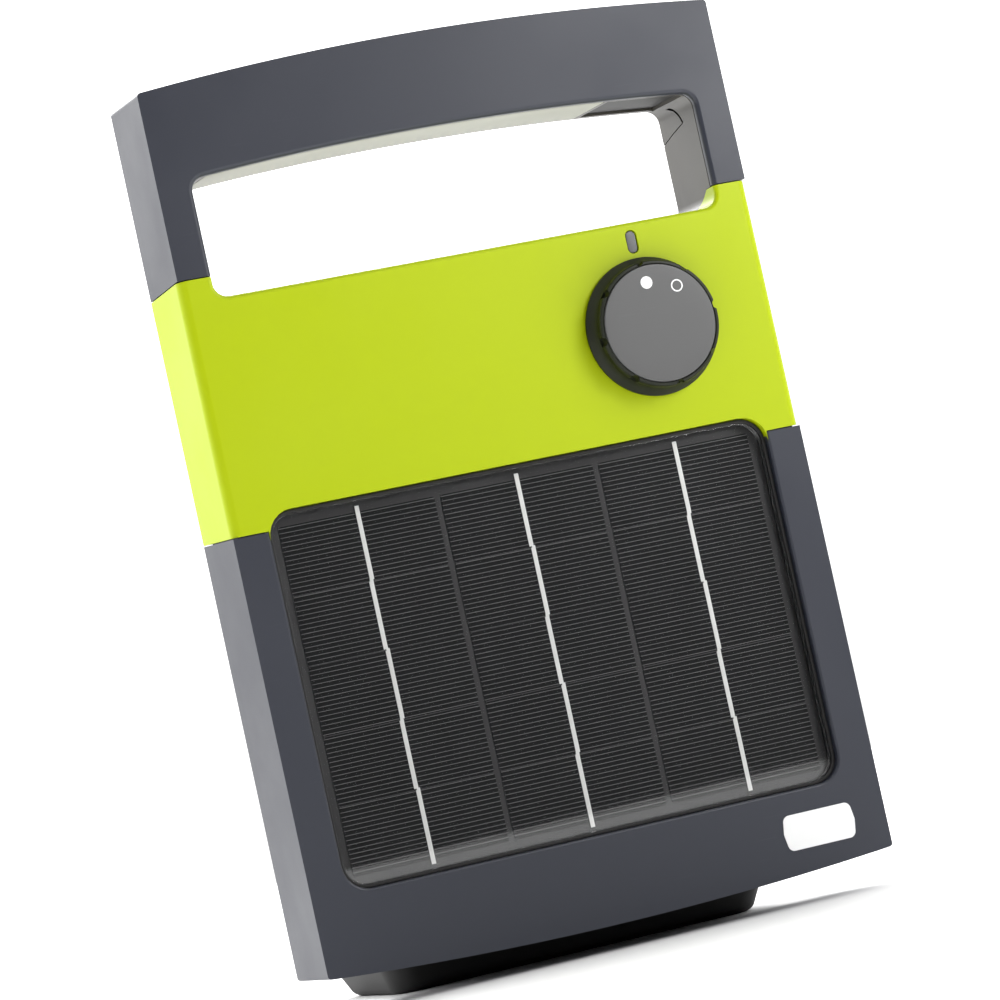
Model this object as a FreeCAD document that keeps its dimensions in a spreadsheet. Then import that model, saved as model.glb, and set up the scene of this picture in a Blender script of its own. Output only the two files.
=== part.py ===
import FreeCAD, Part
import math
import os
import re

import Sketcher
from FreeCAD import Placement, Rotation, Vector

# Solar fence energizer with a carrying handle.
# X runs to the right, Y to the back and Z up. The foot stands on Z = 0, the case is centred on
# X = 0, and Y = 0 is halfway between the front of the power knob and the back of the case.

# Driving dimensions in millimetres and degrees.
SIZES = {
    "case_width": 194.0, "case_depth": 98.0, "flank_depth": 33.0, "wall": 2.6, "play": 0.2,
    "case_low": 12.0, "case_high": 291.4, "top_rise": 5.1, "bottom_drop": 4.0, "edge_round": 3.2,
    "low_seam": 150.5, "high_seam": 231.75, "high_fall": 1.5, "low_climb": 1.0,
    "grip_half": 85.7, "grip_low": 224.8, "grip_high": 262.4, "grip_rise": 3.7, "grip_round": 4.5,
    "ledge_depth": 13.5, "pad_left": 80.0, "pad_right": 56.0, "pad_thick": 1.4, "pad_front": 2.5,
    "pad_back": 29.5,
    "panel_half": 85.05, "panel_low": 36.55, "panel_high": 156.2, "panel_round": 8.5,
    "recess_depth": 8.4, "rim_width": 1.2, "glass_front": 3.0, "glass_thick": 3.2,
    "sheet_thick": 1.2, "cell_thick": 0.3, "cell_wide": 52.0, "cell_tall": 21.8,
    "cell_step_across": 54.3, "cell_step_up": 22.2, "cells_low": 40.8, "ribbon_wide": 1.7,
    "ribbon_thick": 0.2, "ribbon_over": 1.8,
    "shell_half": 70.0, "shell_wall": 2.8, "shell_back": 91.2, "shell_step": 174.0,
    "shell_high": 214.0, "shelf_depth": 72.0, "shell_round": 6.0,
    "cover_thick": 6.0, "seal_thick": 0.8, "seal_wide": 2.0, "cover_hollow": 3.2,
    "hanger_half": 40.0, "hanger_up": 138.0, "hanger_hole": 4.6, "hanger_slot": 2.3,
    "hanger_climb": 10.0, "hanger_lip": 2.2, "hanger_deep": 5.0,
    "foot_half": 63.3, "foot_front": 38.5, "foot_back": 93.0, "foot_flare": 22.0,
    "foot_round": 9.0,
    "knob_across": 53.6, "knob_up": 190.55, "knob_height": 9.2, "knob_radius": 22.4,
    "lip_radius": 20.5, "waist_radius": 19.8, "cap_radius": 19.0, "cap_thick": 2.6,
    "knob_gap": 0.4, "notch_radius": 1.5, "mark_radius": 2.0, "mark_line": 0.6,
    "mark_orbit": 13.5, "mark_turn": 7.5, "switch_turn": 45.0, "mark_deep": 0.4,
    "shaft_radius": 4.0, "shaft_play": 0.05, "bush_radius": 5.9, "switch_wide": 26.0,
    "lens_across": 53.8, "lens_up": 218.4, "lens_wide": 3.6, "lens_tall": 7.4,
    "badge_left": 60.8, "badge_right": 85.9, "badge_low": 17.6, "badge_high": 29.0,
    "badge_thick": 0.6,
    "screw_radius": 1.75, "head_radius": 3.4, "head_thick": 2.3, "boss_radius": 3.8,
    "low_screw_across": 83.0, "low_screw_up": 24.0, "panel_screw_up": 142.0,
    "mid_screw_across": 88.5, "mid_screw_up": 172.0, "mid_screw_high": 212.0,
    "bar_screw_across": 60.0, "bar_screw_up": 280.5,
    "cover_screw_across": 62.8, "cover_screw_low": 21.0, "cover_screw_mid": 93.0,
    "cover_screw_high": 165.0,
    "board_left": -62.0, "board_right": 78.0, "board_low": 162.0, "board_high": 218.0,
    "board_depth": 23.0, "board_thick": 1.6, "board_inset": 4.0,
    "battery_wide": 94.0, "battery_deep": 50.0, "battery_tall": 151.0, "battery_low": 17.0,
    "battery_front": 40.4, "strap_thick": 2.0, "strap_tall": 20.0,
    "post_across": 34.0, "post_up": 194.0, "post_radius": 4.0, "post_back": 94.5,
    "base_radius": 11.0, "base_thick": 5.0, "washer_radius": 9.0, "washer_thick": 1.6,
    "nut_radius": 11.5, "nut_thick": 13.0, "insert_radius": 6.5,
}

# How far back from the front face something lies.
FRONT = "((knob_height - case_depth) / 2)"
HALF = "(case_width / 2)"


def depth(formula):
    return f"({FRONT} + {formula})"


BACK = depth("case_depth")
FLANK_BACK = depth("flank_depth")
PLATE_FRONT = depth("flank_depth - wall")
SHELL_INNER = "(shell_half - shell_wall)"
SHELL_LOW = "(case_low + shell_wall)"

doc = FreeCAD.newDocument("fence_energizer")
dims = doc.addObject("Spreadsheet::Sheet", "dims")
for row, (alias, size) in enumerate(SIZES.items(), start=1):
    dims.set(f"A{row}", alias)
    dims.set(f"B{row}", str(size))
    dims.setAlias(f"B{row}", alias)
doc.recompute()

parts = []


def number(formula):
    return float(dims.evalExpression(formula))


def linked(formula):
    """Write the sheet's names in a formula as references to its cells."""
    return re.sub(r"[a-z]\w+", lambda m: "dims." + m.group() if m.group() in SIZES else m.group(), formula)


def keep(obj, name):
    obj.Label = name
    parts.append(obj)
    return obj


# ---- sketches -------------------------------------------------------------------------------

def pin_point(sketch, curve, end, x, y):
    """Hold a point of a sketch at two formulas."""
    for kind, axis, formula in (("DistanceX", -2, x), ("DistanceY", -1, y)):
        if abs(number(formula)) < 1e-6:
            sketch.addConstraint(Sketcher.Constraint("PointOnObject", curve, end, axis))
        else:
            index = sketch.addConstraint(Sketcher.Constraint(kind, -1, 1, curve, end, number(formula)))
            sketch.setExpression(f"Constraints[{index}]", linked(formula))


def draw_outline(sketch, corners, rises=None):
    """Draw a closed outline; an edge with a rise is an arc that stands off its chord by it."""
    rises = rises or {}
    first = sketch.GeometryCount
    points = [Vector(number(x), number(y), 0) for x, y in corners]
    ends = []
    for i, start in enumerate(points):
        stop = points[(i + 1) % len(points)]
        if i in rises:
            middle = (start + stop) / 2 + Vector(0, number(rises[i]), 0)
            sketch.addGeometry(Part.Arc(start, middle, stop))
            forward = sketch.Geometry[-1].StartPoint.distanceToPoint(start) < 1e-6
            ends.append((1, 2) if forward else (2, 1))
        else:
            sketch.addGeometry(Part.LineSegment(start, stop))
            ends.append((1, 2))
    for i, corner in enumerate(corners):
        following = (i + 1) % len(corners)
        sketch.addConstraint(
            Sketcher.Constraint("Coincident", first + i, ends[i][1], first + following, ends[following][0]))
        pin_point(sketch, first + i, ends[i][0], *corner)
    for i, rise in rises.items():
        chord = f"(({corners[(i + 1) % len(corners)][0]}) - ({corners[i][0]}))"
        radius = f"({chord} * {chord} / 4 + ({rise}) * ({rise})) / (2 * abs({rise}))"
        index = sketch.addConstraint(Sketcher.Constraint("Radius", first + i, number(radius)))
        sketch.setExpression(f"Constraints[{index}]", linked(radius))


def rectangle(x0, x1, y0, y1, rises=None):
    return lambda sketch: draw_outline(sketch, [(x0, y0), (x1, y0), (x1, y1), (x0, y1)], rises)


def rounded(x0, x1, y0, y1, radius):
    """A rectangle whose corners are tangent arcs."""
    spans = [((f"({x0}) + ({radius})", y0), (f"({x1}) - ({radius})", y0)),
             ((x1, f"({y0}) + ({radius})"), (x1, f"({y1}) - ({radius})")),
             ((f"({x1}) - ({radius})", y1), (f"({x0}) + ({radius})", y1)),
             ((x0, f"({y1}) - ({radius})"), (x0, f"({y0}) + ({radius})"))]

    def draw(sketch):
        ends = [[Vector(number(x), number(y), 0) for x, y in span] for span in spans]
        size = number(radius)
        lines = [sketch.addGeometry(Part.LineSegment(*span)) for span in ends]
        for line, span in zip(lines, spans):
            pin_point(sketch, line, 1, *span[0])
            pin_point(sketch, line, 2, *span[1])
        for i, line in enumerate(lines):
            start = ends[i][1]
            stop = ends[(i + 1) % 4][0]
            along = (ends[i][1] - ends[i][0]).normalize()
            centre = stop - along * size
            middle = centre + (start + stop - centre * 2).normalize() * size
            curve = sketch.addGeometry(Part.Arc(start, middle, stop))
            sketch.addConstraint(Sketcher.Constraint("Coincident", line, 2, curve, 1))
            sketch.addConstraint(Sketcher.Constraint("Coincident", curve, 2, lines[(i + 1) % 4], 1))
            index = sketch.addConstraint(Sketcher.Constraint("Radius", curve, size))
            sketch.setExpression(f"Constraints[{index}]", linked(radius))
    return draw


def circles(centres, radius):
    def draw(sketch):
        for x, y in centres:
            centre = Vector(number(x), number(y), 0)
            curve = sketch.addGeometry(Part.Circle(centre, Vector(0, 0, 1), number(radius)))
            pin_point(sketch, curve, 3, x, y)
            index = sketch.addConstraint(Sketcher.Constraint("Radius", curve, number(radius)))
            sketch.setExpression(f"Constraints[{index}]", linked(radius))
    return draw


def both(*draws):
    def draw(sketch):
        for item in draws:
            item(sketch)
    return draw


def mirrored_pairs(*places):
    """Centres on both sides of the middle."""
    return [(sign + x, y) for x, y in places for sign in ("-", "")]


# ---- features -------------------------------------------------------------------------------

def new_body(name):
    return keep(doc.addObject("PartDesign::Body", name), name)


def sketch_on(body, plane, place, draw):
    sketch = body.newObject("Sketcher::SketchObject", body.Name + "_sketch")
    support = next(item for item in body.Origin.OriginFeatures if item.Role == plane)
    sketch.AttachmentSupport = [(support, "")]
    sketch.MapMode = "FlatFace"
    sign = "-" if plane == "XZ_Plane" else ""
    sketch.setExpression("AttachmentOffset.Base.z", linked(f"{sign}({place})"))
    draw(sketch)
    return sketch


def extrude(body, plane, place, length, draw, cut=False, flare=None):
    """Add or cut away a straight run that goes towards the plane's own axis."""
    sketch = sketch_on(body, plane, place, draw)
    kind = "Pocket" if cut else "Pad"
    feature = body.newObject("PartDesign::" + kind, f"{body.Name}_{kind.lower()}")
    feature.Profile = sketch
    feature.Reversed = (plane == "XZ_Plane") != cut
    feature.setExpression("Length", linked(length))
    if flare:
        feature.setExpression("TaperAngle", linked(flare))
    doc.recompute()
    return feature


def add(body, plane, place, length, draw, flare=None):
    return extrude(body, plane, place, length, draw, flare=flare)


def carve(body, plane, place, length, draw):
    return extrude(body, plane, place, length, draw, cut=True)


def round_off(body, radius, pick):
    """Round the edges whose bounding boxes the pick accepts."""
    doc.recompute()
    base = body.Tip
    names = [f"Edge{i + 1}" for i, edge in enumerate(base.Shape.Edges) if pick(edge.BoundBox)]
    feature = body.newObject("PartDesign::Fillet", body.Name + "_round")
    feature.Base = (base, names)
    feature.setExpression("Radius", linked(radius))
    doc.recompute()
    return feature


def runs_along(box, axis):
    lengths = {"X": box.XLength, "Y": box.YLength, "Z": box.ZLength}
    own = lengths.pop(axis)
    return own > 0.5 and max(lengths.values()) < 0.01


def revolve(body, corners):
    """Turn a half section, given as radius and height, about the body's own Z."""
    sketch = sketch_on(body, "XZ_Plane", "0", lambda s: draw_outline(s, corners))
    feature = body.newObject("PartDesign::Revolution", body.Name + "_turn")
    feature.Profile = sketch
    axis = next(item for item in body.Origin.OriginFeatures if item.Role == "Z_Axis")
    feature.ReferenceAxis = (axis, [""])
    feature.Angle = 360
    doc.recompute()
    return feature


def repeat_round(body, feature, count):
    pattern = body.newObject("PartDesign::PolarPattern", body.Name + "_pattern")
    pattern.Originals = [feature]
    axis = next(item for item in body.Origin.OriginFeatures if item.Role == "Z_Axis")
    pattern.Axis = (axis, [""])
    pattern.Angle = 360
    pattern.Occurrences = count
    body.Tip = pattern
    doc.recompute()


def bind_place(obj, x, y, z):
    for letter, formula in (("x", x), ("y", y), ("z", z)):
        obj.setExpression("Placement.Base." + letter, linked(formula))
    return obj


FACING_FRONT = Rotation(Vector(1, 0, 0), 90)
FACING_BACK = Rotation(Vector(1, 0, 0), -90)
FACING_RIGHT = Rotation(Vector(0, 1, 0), 90)
FACING_UP = Rotation()


def block(name, x, y, z):
    """A box between pairs of formulas."""
    box = doc.addObject("Part::Box", name)
    for prop, (low, high) in (("Length", x), ("Width", y), ("Height", z)):
        box.setExpression(prop, linked(f"({high}) - ({low})"))
    return bind_place(box, x[0], y[0], z[0])


def rod(name, facing, place, radius, length):
    cylinder = doc.addObject("Part::Cylinder", name)
    cylinder.setExpression("Radius", linked(radius))
    cylinder.setExpression("Height", linked(length))
    cylinder.Placement = Placement(Vector(), facing)
    return bind_place(cylinder, *place)


def hexagon(name, facing, place, radius, length):
    prism = doc.addObject("Part::Prism", name)
    prism.Polygon = 6
    prism.setExpression("Circumradius", linked(radius))
    prism.setExpression("Height", linked(length))
    prism.Placement = Placement(Vector(), facing)
    return bind_place(prism, *place)


def fuse(name, *shapes):
    union = doc.addObject("Part::MultiFuse", name)
    union.Shapes = list(shapes)
    return union


def subtract(name, base, *tools):
    cut = doc.addObject("Part::Cut", name)
    cut.Base = base
    cut.Tool = tools[0] if len(tools) == 1 else fuse(name + "_tools", *tools)
    return cut


def together(name, *shapes):
    """Separate solids that share one node."""
    group = doc.addObject("Part::Compound", name)
    group.Links = list(shapes)
    return keep(group, name)


def ring(name, facing, place, outer, inner, length):
    body = rod(name + "_outer", facing, place, outer, length)
    return subtract(name, body, rod(name + "_bore", facing, place, inner, length))


def lead(route, radius):
    """A wire along straight runs joined by tangent arcs."""
    points = [Vector(x, number(depth(str(y))), z) for x, y, z in route]
    edges = []
    start = points[0]
    for before, corner, after in zip(points, points[1:], points[2:]):
        inward = (before - corner).normalize()
        outward = (after - corner).normalize()
        reach = 0.45 * min((before - corner).Length, (after - corner).Length)
        entry = corner + inward * reach
        leave = corner + outward * reach
        half = inward.getAngle(outward) / 2
        bend = reach * math.tan(half)
        centre = corner + (inward + outward).normalize() * (reach / math.cos(half))
        middle = centre + (corner - centre).normalize() * bend
        edges.append(Part.LineSegment(start, entry).toShape())
        edges.append(Part.Arc(entry, middle, leave).toShape())
        start = leave
    edges.append(Part.LineSegment(start, points[-1]).toShape())
    path = Part.Wire(edges)
    profile = Part.Wire(Part.Circle(points[0], points[1] - points[0], radius).toShape())
    return path.makePipeShell([profile], True, False)


def leads(name, routes, radius):
    feature = doc.addObject("Part::Feature", name)
    feature.Shape = Part.Compound([lead(route, radius) for route in routes])
    feature.Placement = Placement()
    return keep(feature, name)


# ---- the case -------------------------------------------------------------------------------

LOW_SCREWS = mirrored_pairs(("low_screw_across", "low_screw_up"))
PANEL_SCREWS = mirrored_pairs(("low_screw_across", "panel_screw_up"))
MID_SCREWS = mirrored_pairs(("mid_screw_across", "mid_screw_up"), ("mid_screw_across", "mid_screw_high"))
BAR_SCREWS = mirrored_pairs(("bar_screw_across", "bar_screw_up"))
CASE_SCREWS = LOW_SCREWS + PANEL_SCREWS + MID_SCREWS + BAR_SCREWS
COVER_SCREWS = mirrored_pairs(*[("cover_screw_across", height)
                                for height in ("cover_screw_low", "cover_screw_mid", "cover_screw_high")])


def case_outline(inset, low, high):
    """The case's front outline, drawn in by an inset, between two heights or its own arched ends."""
    own_low = f"(case_low + {inset})"
    own_high = f"(case_high - {inset})"
    rises = {}
    if low is None:
        rises[0] = "-bottom_drop"
    if high is None:
        rises[2] = "top_rise"
    side = f"({HALF} - {inset})"
    return rectangle("-" + side, side, low or own_low, high or own_high, rises)


def grip_opening(grow):
    """The hand opening, widened all round by a margin."""
    side = f"(grip_half + {grow})"
    return rectangle("-" + side, side, f"(grip_low - {grow})", f"(grip_high + {grow})", {2: "grip_rise"})


def panel_outline(grow):
    side = f"(panel_half + {grow})"
    low = f"(panel_low - {grow})"
    high = f"(panel_high + {grow})"
    return rounded("-" + side, side, low, high, f"(panel_round + {grow})")


def at_front(box):
    return box.YMax < number(FRONT) + 0.01


def bosses(body, centres, start):
    """Screw posts that reach from the front wall to the closing plate."""
    add(body, "XZ_Plane", depth(start), f"flank_depth - wall - ({start})",
        circles(centres, "boss_radius"))
    carve(body, "XZ_Plane", depth("flank_depth / 2"), "flank_depth / 2 - wall",
          circles(centres, "screw_radius"))


def seam_cut(body, front_height, back_height, side):
    """Trim a cover along a seam that tilts towards the back; the side is + for above, - for below."""
    far = f"(({front_height}) {side} 40)"
    reach = depth("flank_depth + 1")
    corners = [(depth("-1"), front_height), (reach, back_height), (reach, far), (depth("-1"), far)]
    carve(body, "YZ_Plane", f"-({HALF} + 1)", "case_width + 2", lambda s: draw_outline(s, corners))


def lower_case():
    body = new_body("lower_case")
    tall = "(low_seam + low_climb + 2)"
    add(body, "XZ_Plane", FRONT, "flank_depth", case_outline("0", None, tall))
    round_off(body, "edge_round", lambda b: at_front(b) and b.ZMin < number(tall) - 1)
    carve(body, "XZ_Plane", depth("wall"), "flank_depth", case_outline("wall", None, f"({tall} + 1)"))
    seam_cut(body, "low_seam", "(low_seam + low_climb)", "+")
    add(body, "XZ_Plane", depth("wall"), "recess_depth", panel_outline("wall"))
    carve(body, "XZ_Plane", depth("-1"), "recess_depth + 1", panel_outline("0"))
    bosses(body, LOW_SCREWS, "wall")
    bosses(body, PANEL_SCREWS, "recess_depth + wall")
    carve(body, "XZ_Plane", depth("-1"), "badge_thick + 1",
          rectangle("badge_left", "badge_right", "badge_low", "badge_high"))


def mid_cover():
    body = new_body("mid_cover")
    low = "(low_seam - 1)"
    high = "(high_seam + 1)"
    add(body, "XZ_Plane", FRONT, "flank_depth", case_outline("0", low, high))
    round_off(body, "edge_round", lambda b: at_front(b) and runs_along(b, "Z"))
    carve(body, "XZ_Plane", depth("wall"), "flank_depth",
          case_outline("wall", "(low_seam - 2)", "(high_seam + 2)"))
    ledge = rectangle("-(grip_half + wall)", "grip_half + wall", "grip_low - wall", high)
    add(body, "XZ_Plane", FRONT, "ledge_depth", ledge)
    carve(body, "XZ_Plane", depth("-1"), "flank_depth + 2", grip_opening("0"))
    corner = number("grip_half")
    round_off(body, "grip_round", lambda b: runs_along(b, "Y") and abs(abs(b.Center.x) - corner) < 0.1
              and abs(b.Center.z - number("grip_low")) < 0.1)
    seam_cut(body, "low_seam", "(low_seam + low_climb)", "-")
    seam_cut(body, "high_seam", "(high_seam - high_fall)", "+")
    carve(body, "XZ_Plane", depth("-1"), "wall + 2", panel_outline("play"))
    bosses(body, MID_SCREWS, "wall")
    add(body, "XZ_Plane", depth("wall"), "board_depth - wall", circles(BOARD_SCREWS, "boss_radius"))
    carve(body, "XZ_Plane", depth("board_depth / 2"), "board_depth / 2",
          circles(BOARD_SCREWS, "screw_radius - 0.25"))
    carve(body, "XZ_Plane", depth("-1"), "wall + 2",
          circles([("knob_across", "knob_up")], "bush_radius + play"))
    lens = rectangle("lens_across - lens_wide / 2", "lens_across + lens_wide / 2",
                     "lens_up - lens_tall / 2", "lens_up + lens_tall / 2")
    carve(body, "XZ_Plane", depth("-1"), "wall + 2", lens)


def pad_corners():
    """The grip pad's section, seen from the front: a band that follows the arch in five spans."""
    heights = []
    for share in range(6):
        across = f"(-pad_left + (pad_left + pad_right) * {share} / 5)"
        arch = f"(grip_high + grip_rise - grip_rise * {across} * {across} / (grip_half * grip_half))"
        heights.append((across, arch))
    top = [(across, f"({arch} + pad_thick)") for across, arch in reversed(heights)]
    return heights + top


def handle_cover():
    body = new_body("handle_cover")
    low = "(high_seam - high_fall - 1)"
    add(body, "XZ_Plane", FRONT, "flank_depth", case_outline("0", low, None))
    round_off(body, "edge_round", lambda b: at_front(b) and b.ZMax > number(low) + 1)
    loops = both(case_outline("wall", "(high_seam - 4)", None),
                 rectangle("-(grip_half + wall)", "(grip_half + wall)", "(high_seam - 3)",
                           "(grip_high + wall)", {2: "grip_rise"}))
    carve(body, "XZ_Plane", depth("wall"), "flank_depth", loops)
    carve(body, "XZ_Plane", depth("-1"), "flank_depth + 2", grip_opening("0"))
    corner = number("grip_half")
    round_off(body, "grip_round", lambda b: runs_along(b, "Y") and abs(abs(b.Center.x) - corner) < 0.1
              and abs(b.Center.z - number("grip_high")) < 0.1)
    seam_cut(body, "high_seam", "(high_seam - high_fall)", "-")
    carve(body, "XZ_Plane", depth("pad_front"), "pad_back - pad_front",
          lambda s: draw_outline(s, pad_corners()))
    bosses(body, BAR_SCREWS, "wall")


def grip_pad():
    body = new_body("grip_pad")
    add(body, "XZ_Plane", depth("pad_front"), "pad_back - pad_front",
        lambda s: draw_outline(s, pad_corners()))


def handle_back():
    """The back half of the handle: a ring behind the opening and the ledge under it."""
    body = new_body("handle_back")
    split = "(grip_low - wall)"
    top = "(high_seam - high_fall - play)"
    add(body, "XZ_Plane", PLATE_FRONT, "wall", case_outline("(wall + play)", split, None))
    ledge = rectangle("-(grip_half + wall)", "grip_half + wall", split, top)
    add(body, "XZ_Plane", depth("ledge_depth + play"), "flank_depth - ledge_depth - play", ledge)
    carve(body, "XZ_Plane", depth("0"), "flank_depth + 1",
          rectangle("-grip_half", "grip_half", "grip_low", "grip_high + grip_rise"))
    over = rectangle("-(grip_half + wall + play)", "grip_half + wall + play", top,
                     "grip_high + wall + play", {2: "grip_rise"})
    carve(body, "XZ_Plane", depth("0"), "flank_depth + 1", over)
    carve(body, "XZ_Plane", depth("flank_depth - wall - 1"), "wall + 2", circles(BAR_SCREWS, "screw_radius"))


def rear_shell():
    """The closing plate behind the covers and the deep box that holds the battery."""
    body = new_body("rear_shell")
    add(body, "XZ_Plane", PLATE_FRONT, "wall", case_outline("(wall + play)", None, "(grip_low - wall)"))
    add(body, "YZ_Plane", "-shell_half", "2 * shell_half",
        rectangle(FLANK_BACK, depth("shell_back"), "case_low", "shell_step"))
    start = depth("flank_depth - wall - 1")
    inner = depth("shelf_depth - shell_wall")
    room = [(start, SHELL_LOW), (depth("shell_back + 1"), SHELL_LOW),
            (depth("shell_back + 1"), "shell_step - shell_wall"), (inner, "shell_step - shell_wall"),
            (inner, "shell_step + 1"), (depth("flank_depth"), "shell_step + 1"),
            (depth("flank_depth"), "shell_high - shell_wall"), (start, "shell_high - shell_wall")]
    carve(body, "YZ_Plane", "-" + SHELL_INNER, "2 * " + SHELL_INNER, lambda s: draw_outline(s, room))
    add(body, "XZ_Plane", depth("shelf_depth"), "shell_back - shelf_depth",
        circles(COVER_SCREWS, "boss_radius + 1"))
    carve(body, "XZ_Plane", depth("shelf_depth + 2"), "case_depth", circles(COVER_SCREWS, "screw_radius"))
    front_screws = circles(LOW_SCREWS + PANEL_SCREWS + MID_SCREWS, "screw_radius")
    carve(body, "XZ_Plane", start, "wall + 2", front_screws)
    strap = mirrored_pairs(("(battery_wide / 2 + 10)", "cover_screw_mid"))
    tip = "(battery_front + strap_thick / 2)"
    add(body, "XZ_Plane", depth(tip), f"shell_back - {tip}", circles(strap, "boss_radius"))
    carve(body, "XZ_Plane", depth(tip), "20", circles(strap, "screw_radius"))
    carve(body, "XY_Plane", "case_low - 1", "shell_wall + 2", circles(FOOT_SCREWS, "screw_radius"))


def terminal_shell():
    """The shallower upper housing, whose back wall is the shelf that carries the two terminals."""
    body = new_body("terminal_shell")
    add(body, "YZ_Plane", "-shell_half", "2 * shell_half",
        rectangle(FLANK_BACK, depth("shelf_depth"), "shell_step", "shell_high"))
    shelf = number(depth("shelf_depth"))
    high = number("shell_high")
    round_off(body, "shell_round", lambda b: runs_along(b, "Z") and abs(b.YMax - shelf) < 0.1
              or runs_along(b, "Y") and b.ZMin > high - 1)
    carve(body, "YZ_Plane", "-" + SHELL_INNER, "2 * " + SHELL_INNER,
          rectangle(depth("flank_depth - 1"), depth("shelf_depth - shell_wall"),
                    "shell_step - 1", "shell_high - shell_wall"))
    posts = circles(mirrored_pairs(("post_across", "post_up")), "post_radius + play")
    carve(body, "XZ_Plane", depth("shelf_depth - 5"), "7", posts)


FOOT_SCREWS = [("-50", depth("foot_front + 12")), ("50", depth("foot_front + 12")),
               ("-50", depth("foot_back - 18")), ("50", depth("foot_back - 18"))]


def battery_cover():
    body = new_body("battery_cover")
    front = depth("case_depth - cover_thick")
    add(body, "XZ_Plane", front, "cover_thick",
        rectangle("-shell_half", "shell_half", "case_low", "shell_step"))
    round_off(body, "cover_thick - 0.5", lambda b: b.YMin > number(BACK) - 0.1)
    hollow = rectangle("-battery_wide / 2", "battery_wide / 2", "case_low + 12", "hanger_up - 14")
    carve(body, "XZ_Plane", depth("case_depth - cover_thick - 1"), "cover_hollow + 1", hollow)
    heads = depth("case_depth - head_thick - 0.2")
    carve(body, "XZ_Plane", heads, "head_thick + 1", circles(COVER_SCREWS, "head_radius + play"))
    carve(body, "XZ_Plane", depth("case_depth - cover_thick - 1"), "cover_thick + 2",
          circles(COVER_SCREWS, "screw_radius"))
    top = "hanger_up + hanger_climb"
    for side in ("-", ""):
        centre = f"({side}hanger_half)"
        slot = rectangle(f"{centre} - hanger_slot", f"{centre} + hanger_slot", "hanger_up", top)
        room = rectangle(f"{centre} - hanger_hole", f"{centre} + hanger_hole", "hanger_up", top + " + 3")
        hole = circles([(centre, "hanger_up")], "hanger_hole")
        carve(body, "XZ_Plane", depth("case_depth - hanger_lip"), "hanger_lip + 1", slot)
        carve(body, "XZ_Plane", depth("case_depth - hanger_deep"), "hanger_deep - hanger_lip", room)
        carve(body, "XZ_Plane", depth("case_depth - hanger_deep"), "hanger_deep + 1", hole)


def cover_seal():
    body = new_body("cover_seal")
    inside = "(shell_half - seal_wide)"
    loops = both(rectangle("-shell_half", "shell_half", "case_low", "shell_step"),
                 rectangle("-" + inside, inside, "case_low + seal_wide", "shell_step - seal_wide"))
    add(body, "XZ_Plane", depth("shell_back"), "seal_thick", loops)


def case_seal():
    body = new_body("case_seal")
    loops = both(case_outline("wall", None, "(grip_low - wall - 2)"),
                 case_outline("(wall + seal_wide)", None, "(grip_low - wall - 2 - seal_wide)"))
    add(body, "XZ_Plane", depth("flank_depth - wall - seal_wide"), "seal_wide", loops)


def base_foot():
    body = new_body("base_foot")
    sole = rounded("-foot_half", "foot_half", depth("foot_front"), depth("foot_back"), "foot_round")
    add(body, "XY_Plane", "0", "case_low", sole, flare="foot_flare")
    carve(body, "XY_Plane", "-1", "head_thick + 2", circles(FOOT_SCREWS, "head_radius + play"))
    carve(body, "XY_Plane", "-1", "case_low + 2", circles(FOOT_SCREWS, "screw_radius"))


def screw(name, facing, place, back, length):
    """A pan-head screw; the place is under its head and back is the head's own direction."""
    x, y, z = place
    shank_start = {"Y": (x, f"({y} - ({length}))", z), "Z": (x, y, z)}[back]
    head_start = {"Y": place, "Z": (x, y, f"({z} - head_thick)")}[back]
    head = rod(name + "_head", facing, head_start, "head_radius", "head_thick")
    shank = rod(name + "_shank", facing, shank_start, "screw_radius", length)
    return fuse(name, head, shank)


def case_fasteners():
    case = [screw(f"case_screw_{i}", FACING_BACK, (x, FLANK_BACK, z), "Y", "15")
            for i, (x, z) in enumerate(CASE_SCREWS)]
    together("case_screws", *case)
    under_head = depth("case_depth - head_thick - 0.2")
    cover = [screw(f"cover_screw_{i}", FACING_BACK, (x, under_head, z), "Y", "18")
             for i, (x, z) in enumerate(COVER_SCREWS)]
    together("cover_screws", *cover)
    long = "case_low + shell_wall - head_thick - 1"
    foot = [screw(f"foot_screw_{i}", FACING_UP, (x, y, "(head_thick + 1)"), "Z", long)
            for i, (x, y) in enumerate(FOOT_SCREWS)]
    together("foot_screws", *foot)


def badge_plate():
    body = new_body("badge_plate")
    add(body, "XZ_Plane", FRONT, "badge_thick",
        rectangle("badge_left", "badge_right", "badge_low", "badge_high"))


# ---- the solar panel ------------------------------------------------------------------------

def panel_ring():
    body = new_body("panel_gasket")
    add(body, "XZ_Plane", depth("glass_front - 0.6"), "recess_depth - glass_front + 0.6", panel_outline("0"))
    carve(body, "XZ_Plane", depth("0"), "recess_depth + 1", panel_outline("(-rim_width)"))


def panel_layer(name, front, thick):
    body = new_body(name)
    add(body, "XZ_Plane", depth(front), thick, panel_outline("(-rim_width)"))


CELL_FRONT = "(glass_front + glass_thick)"
SHEET_FRONT = f"({CELL_FRONT} + ribbon_thick + cell_thick)"


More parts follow.
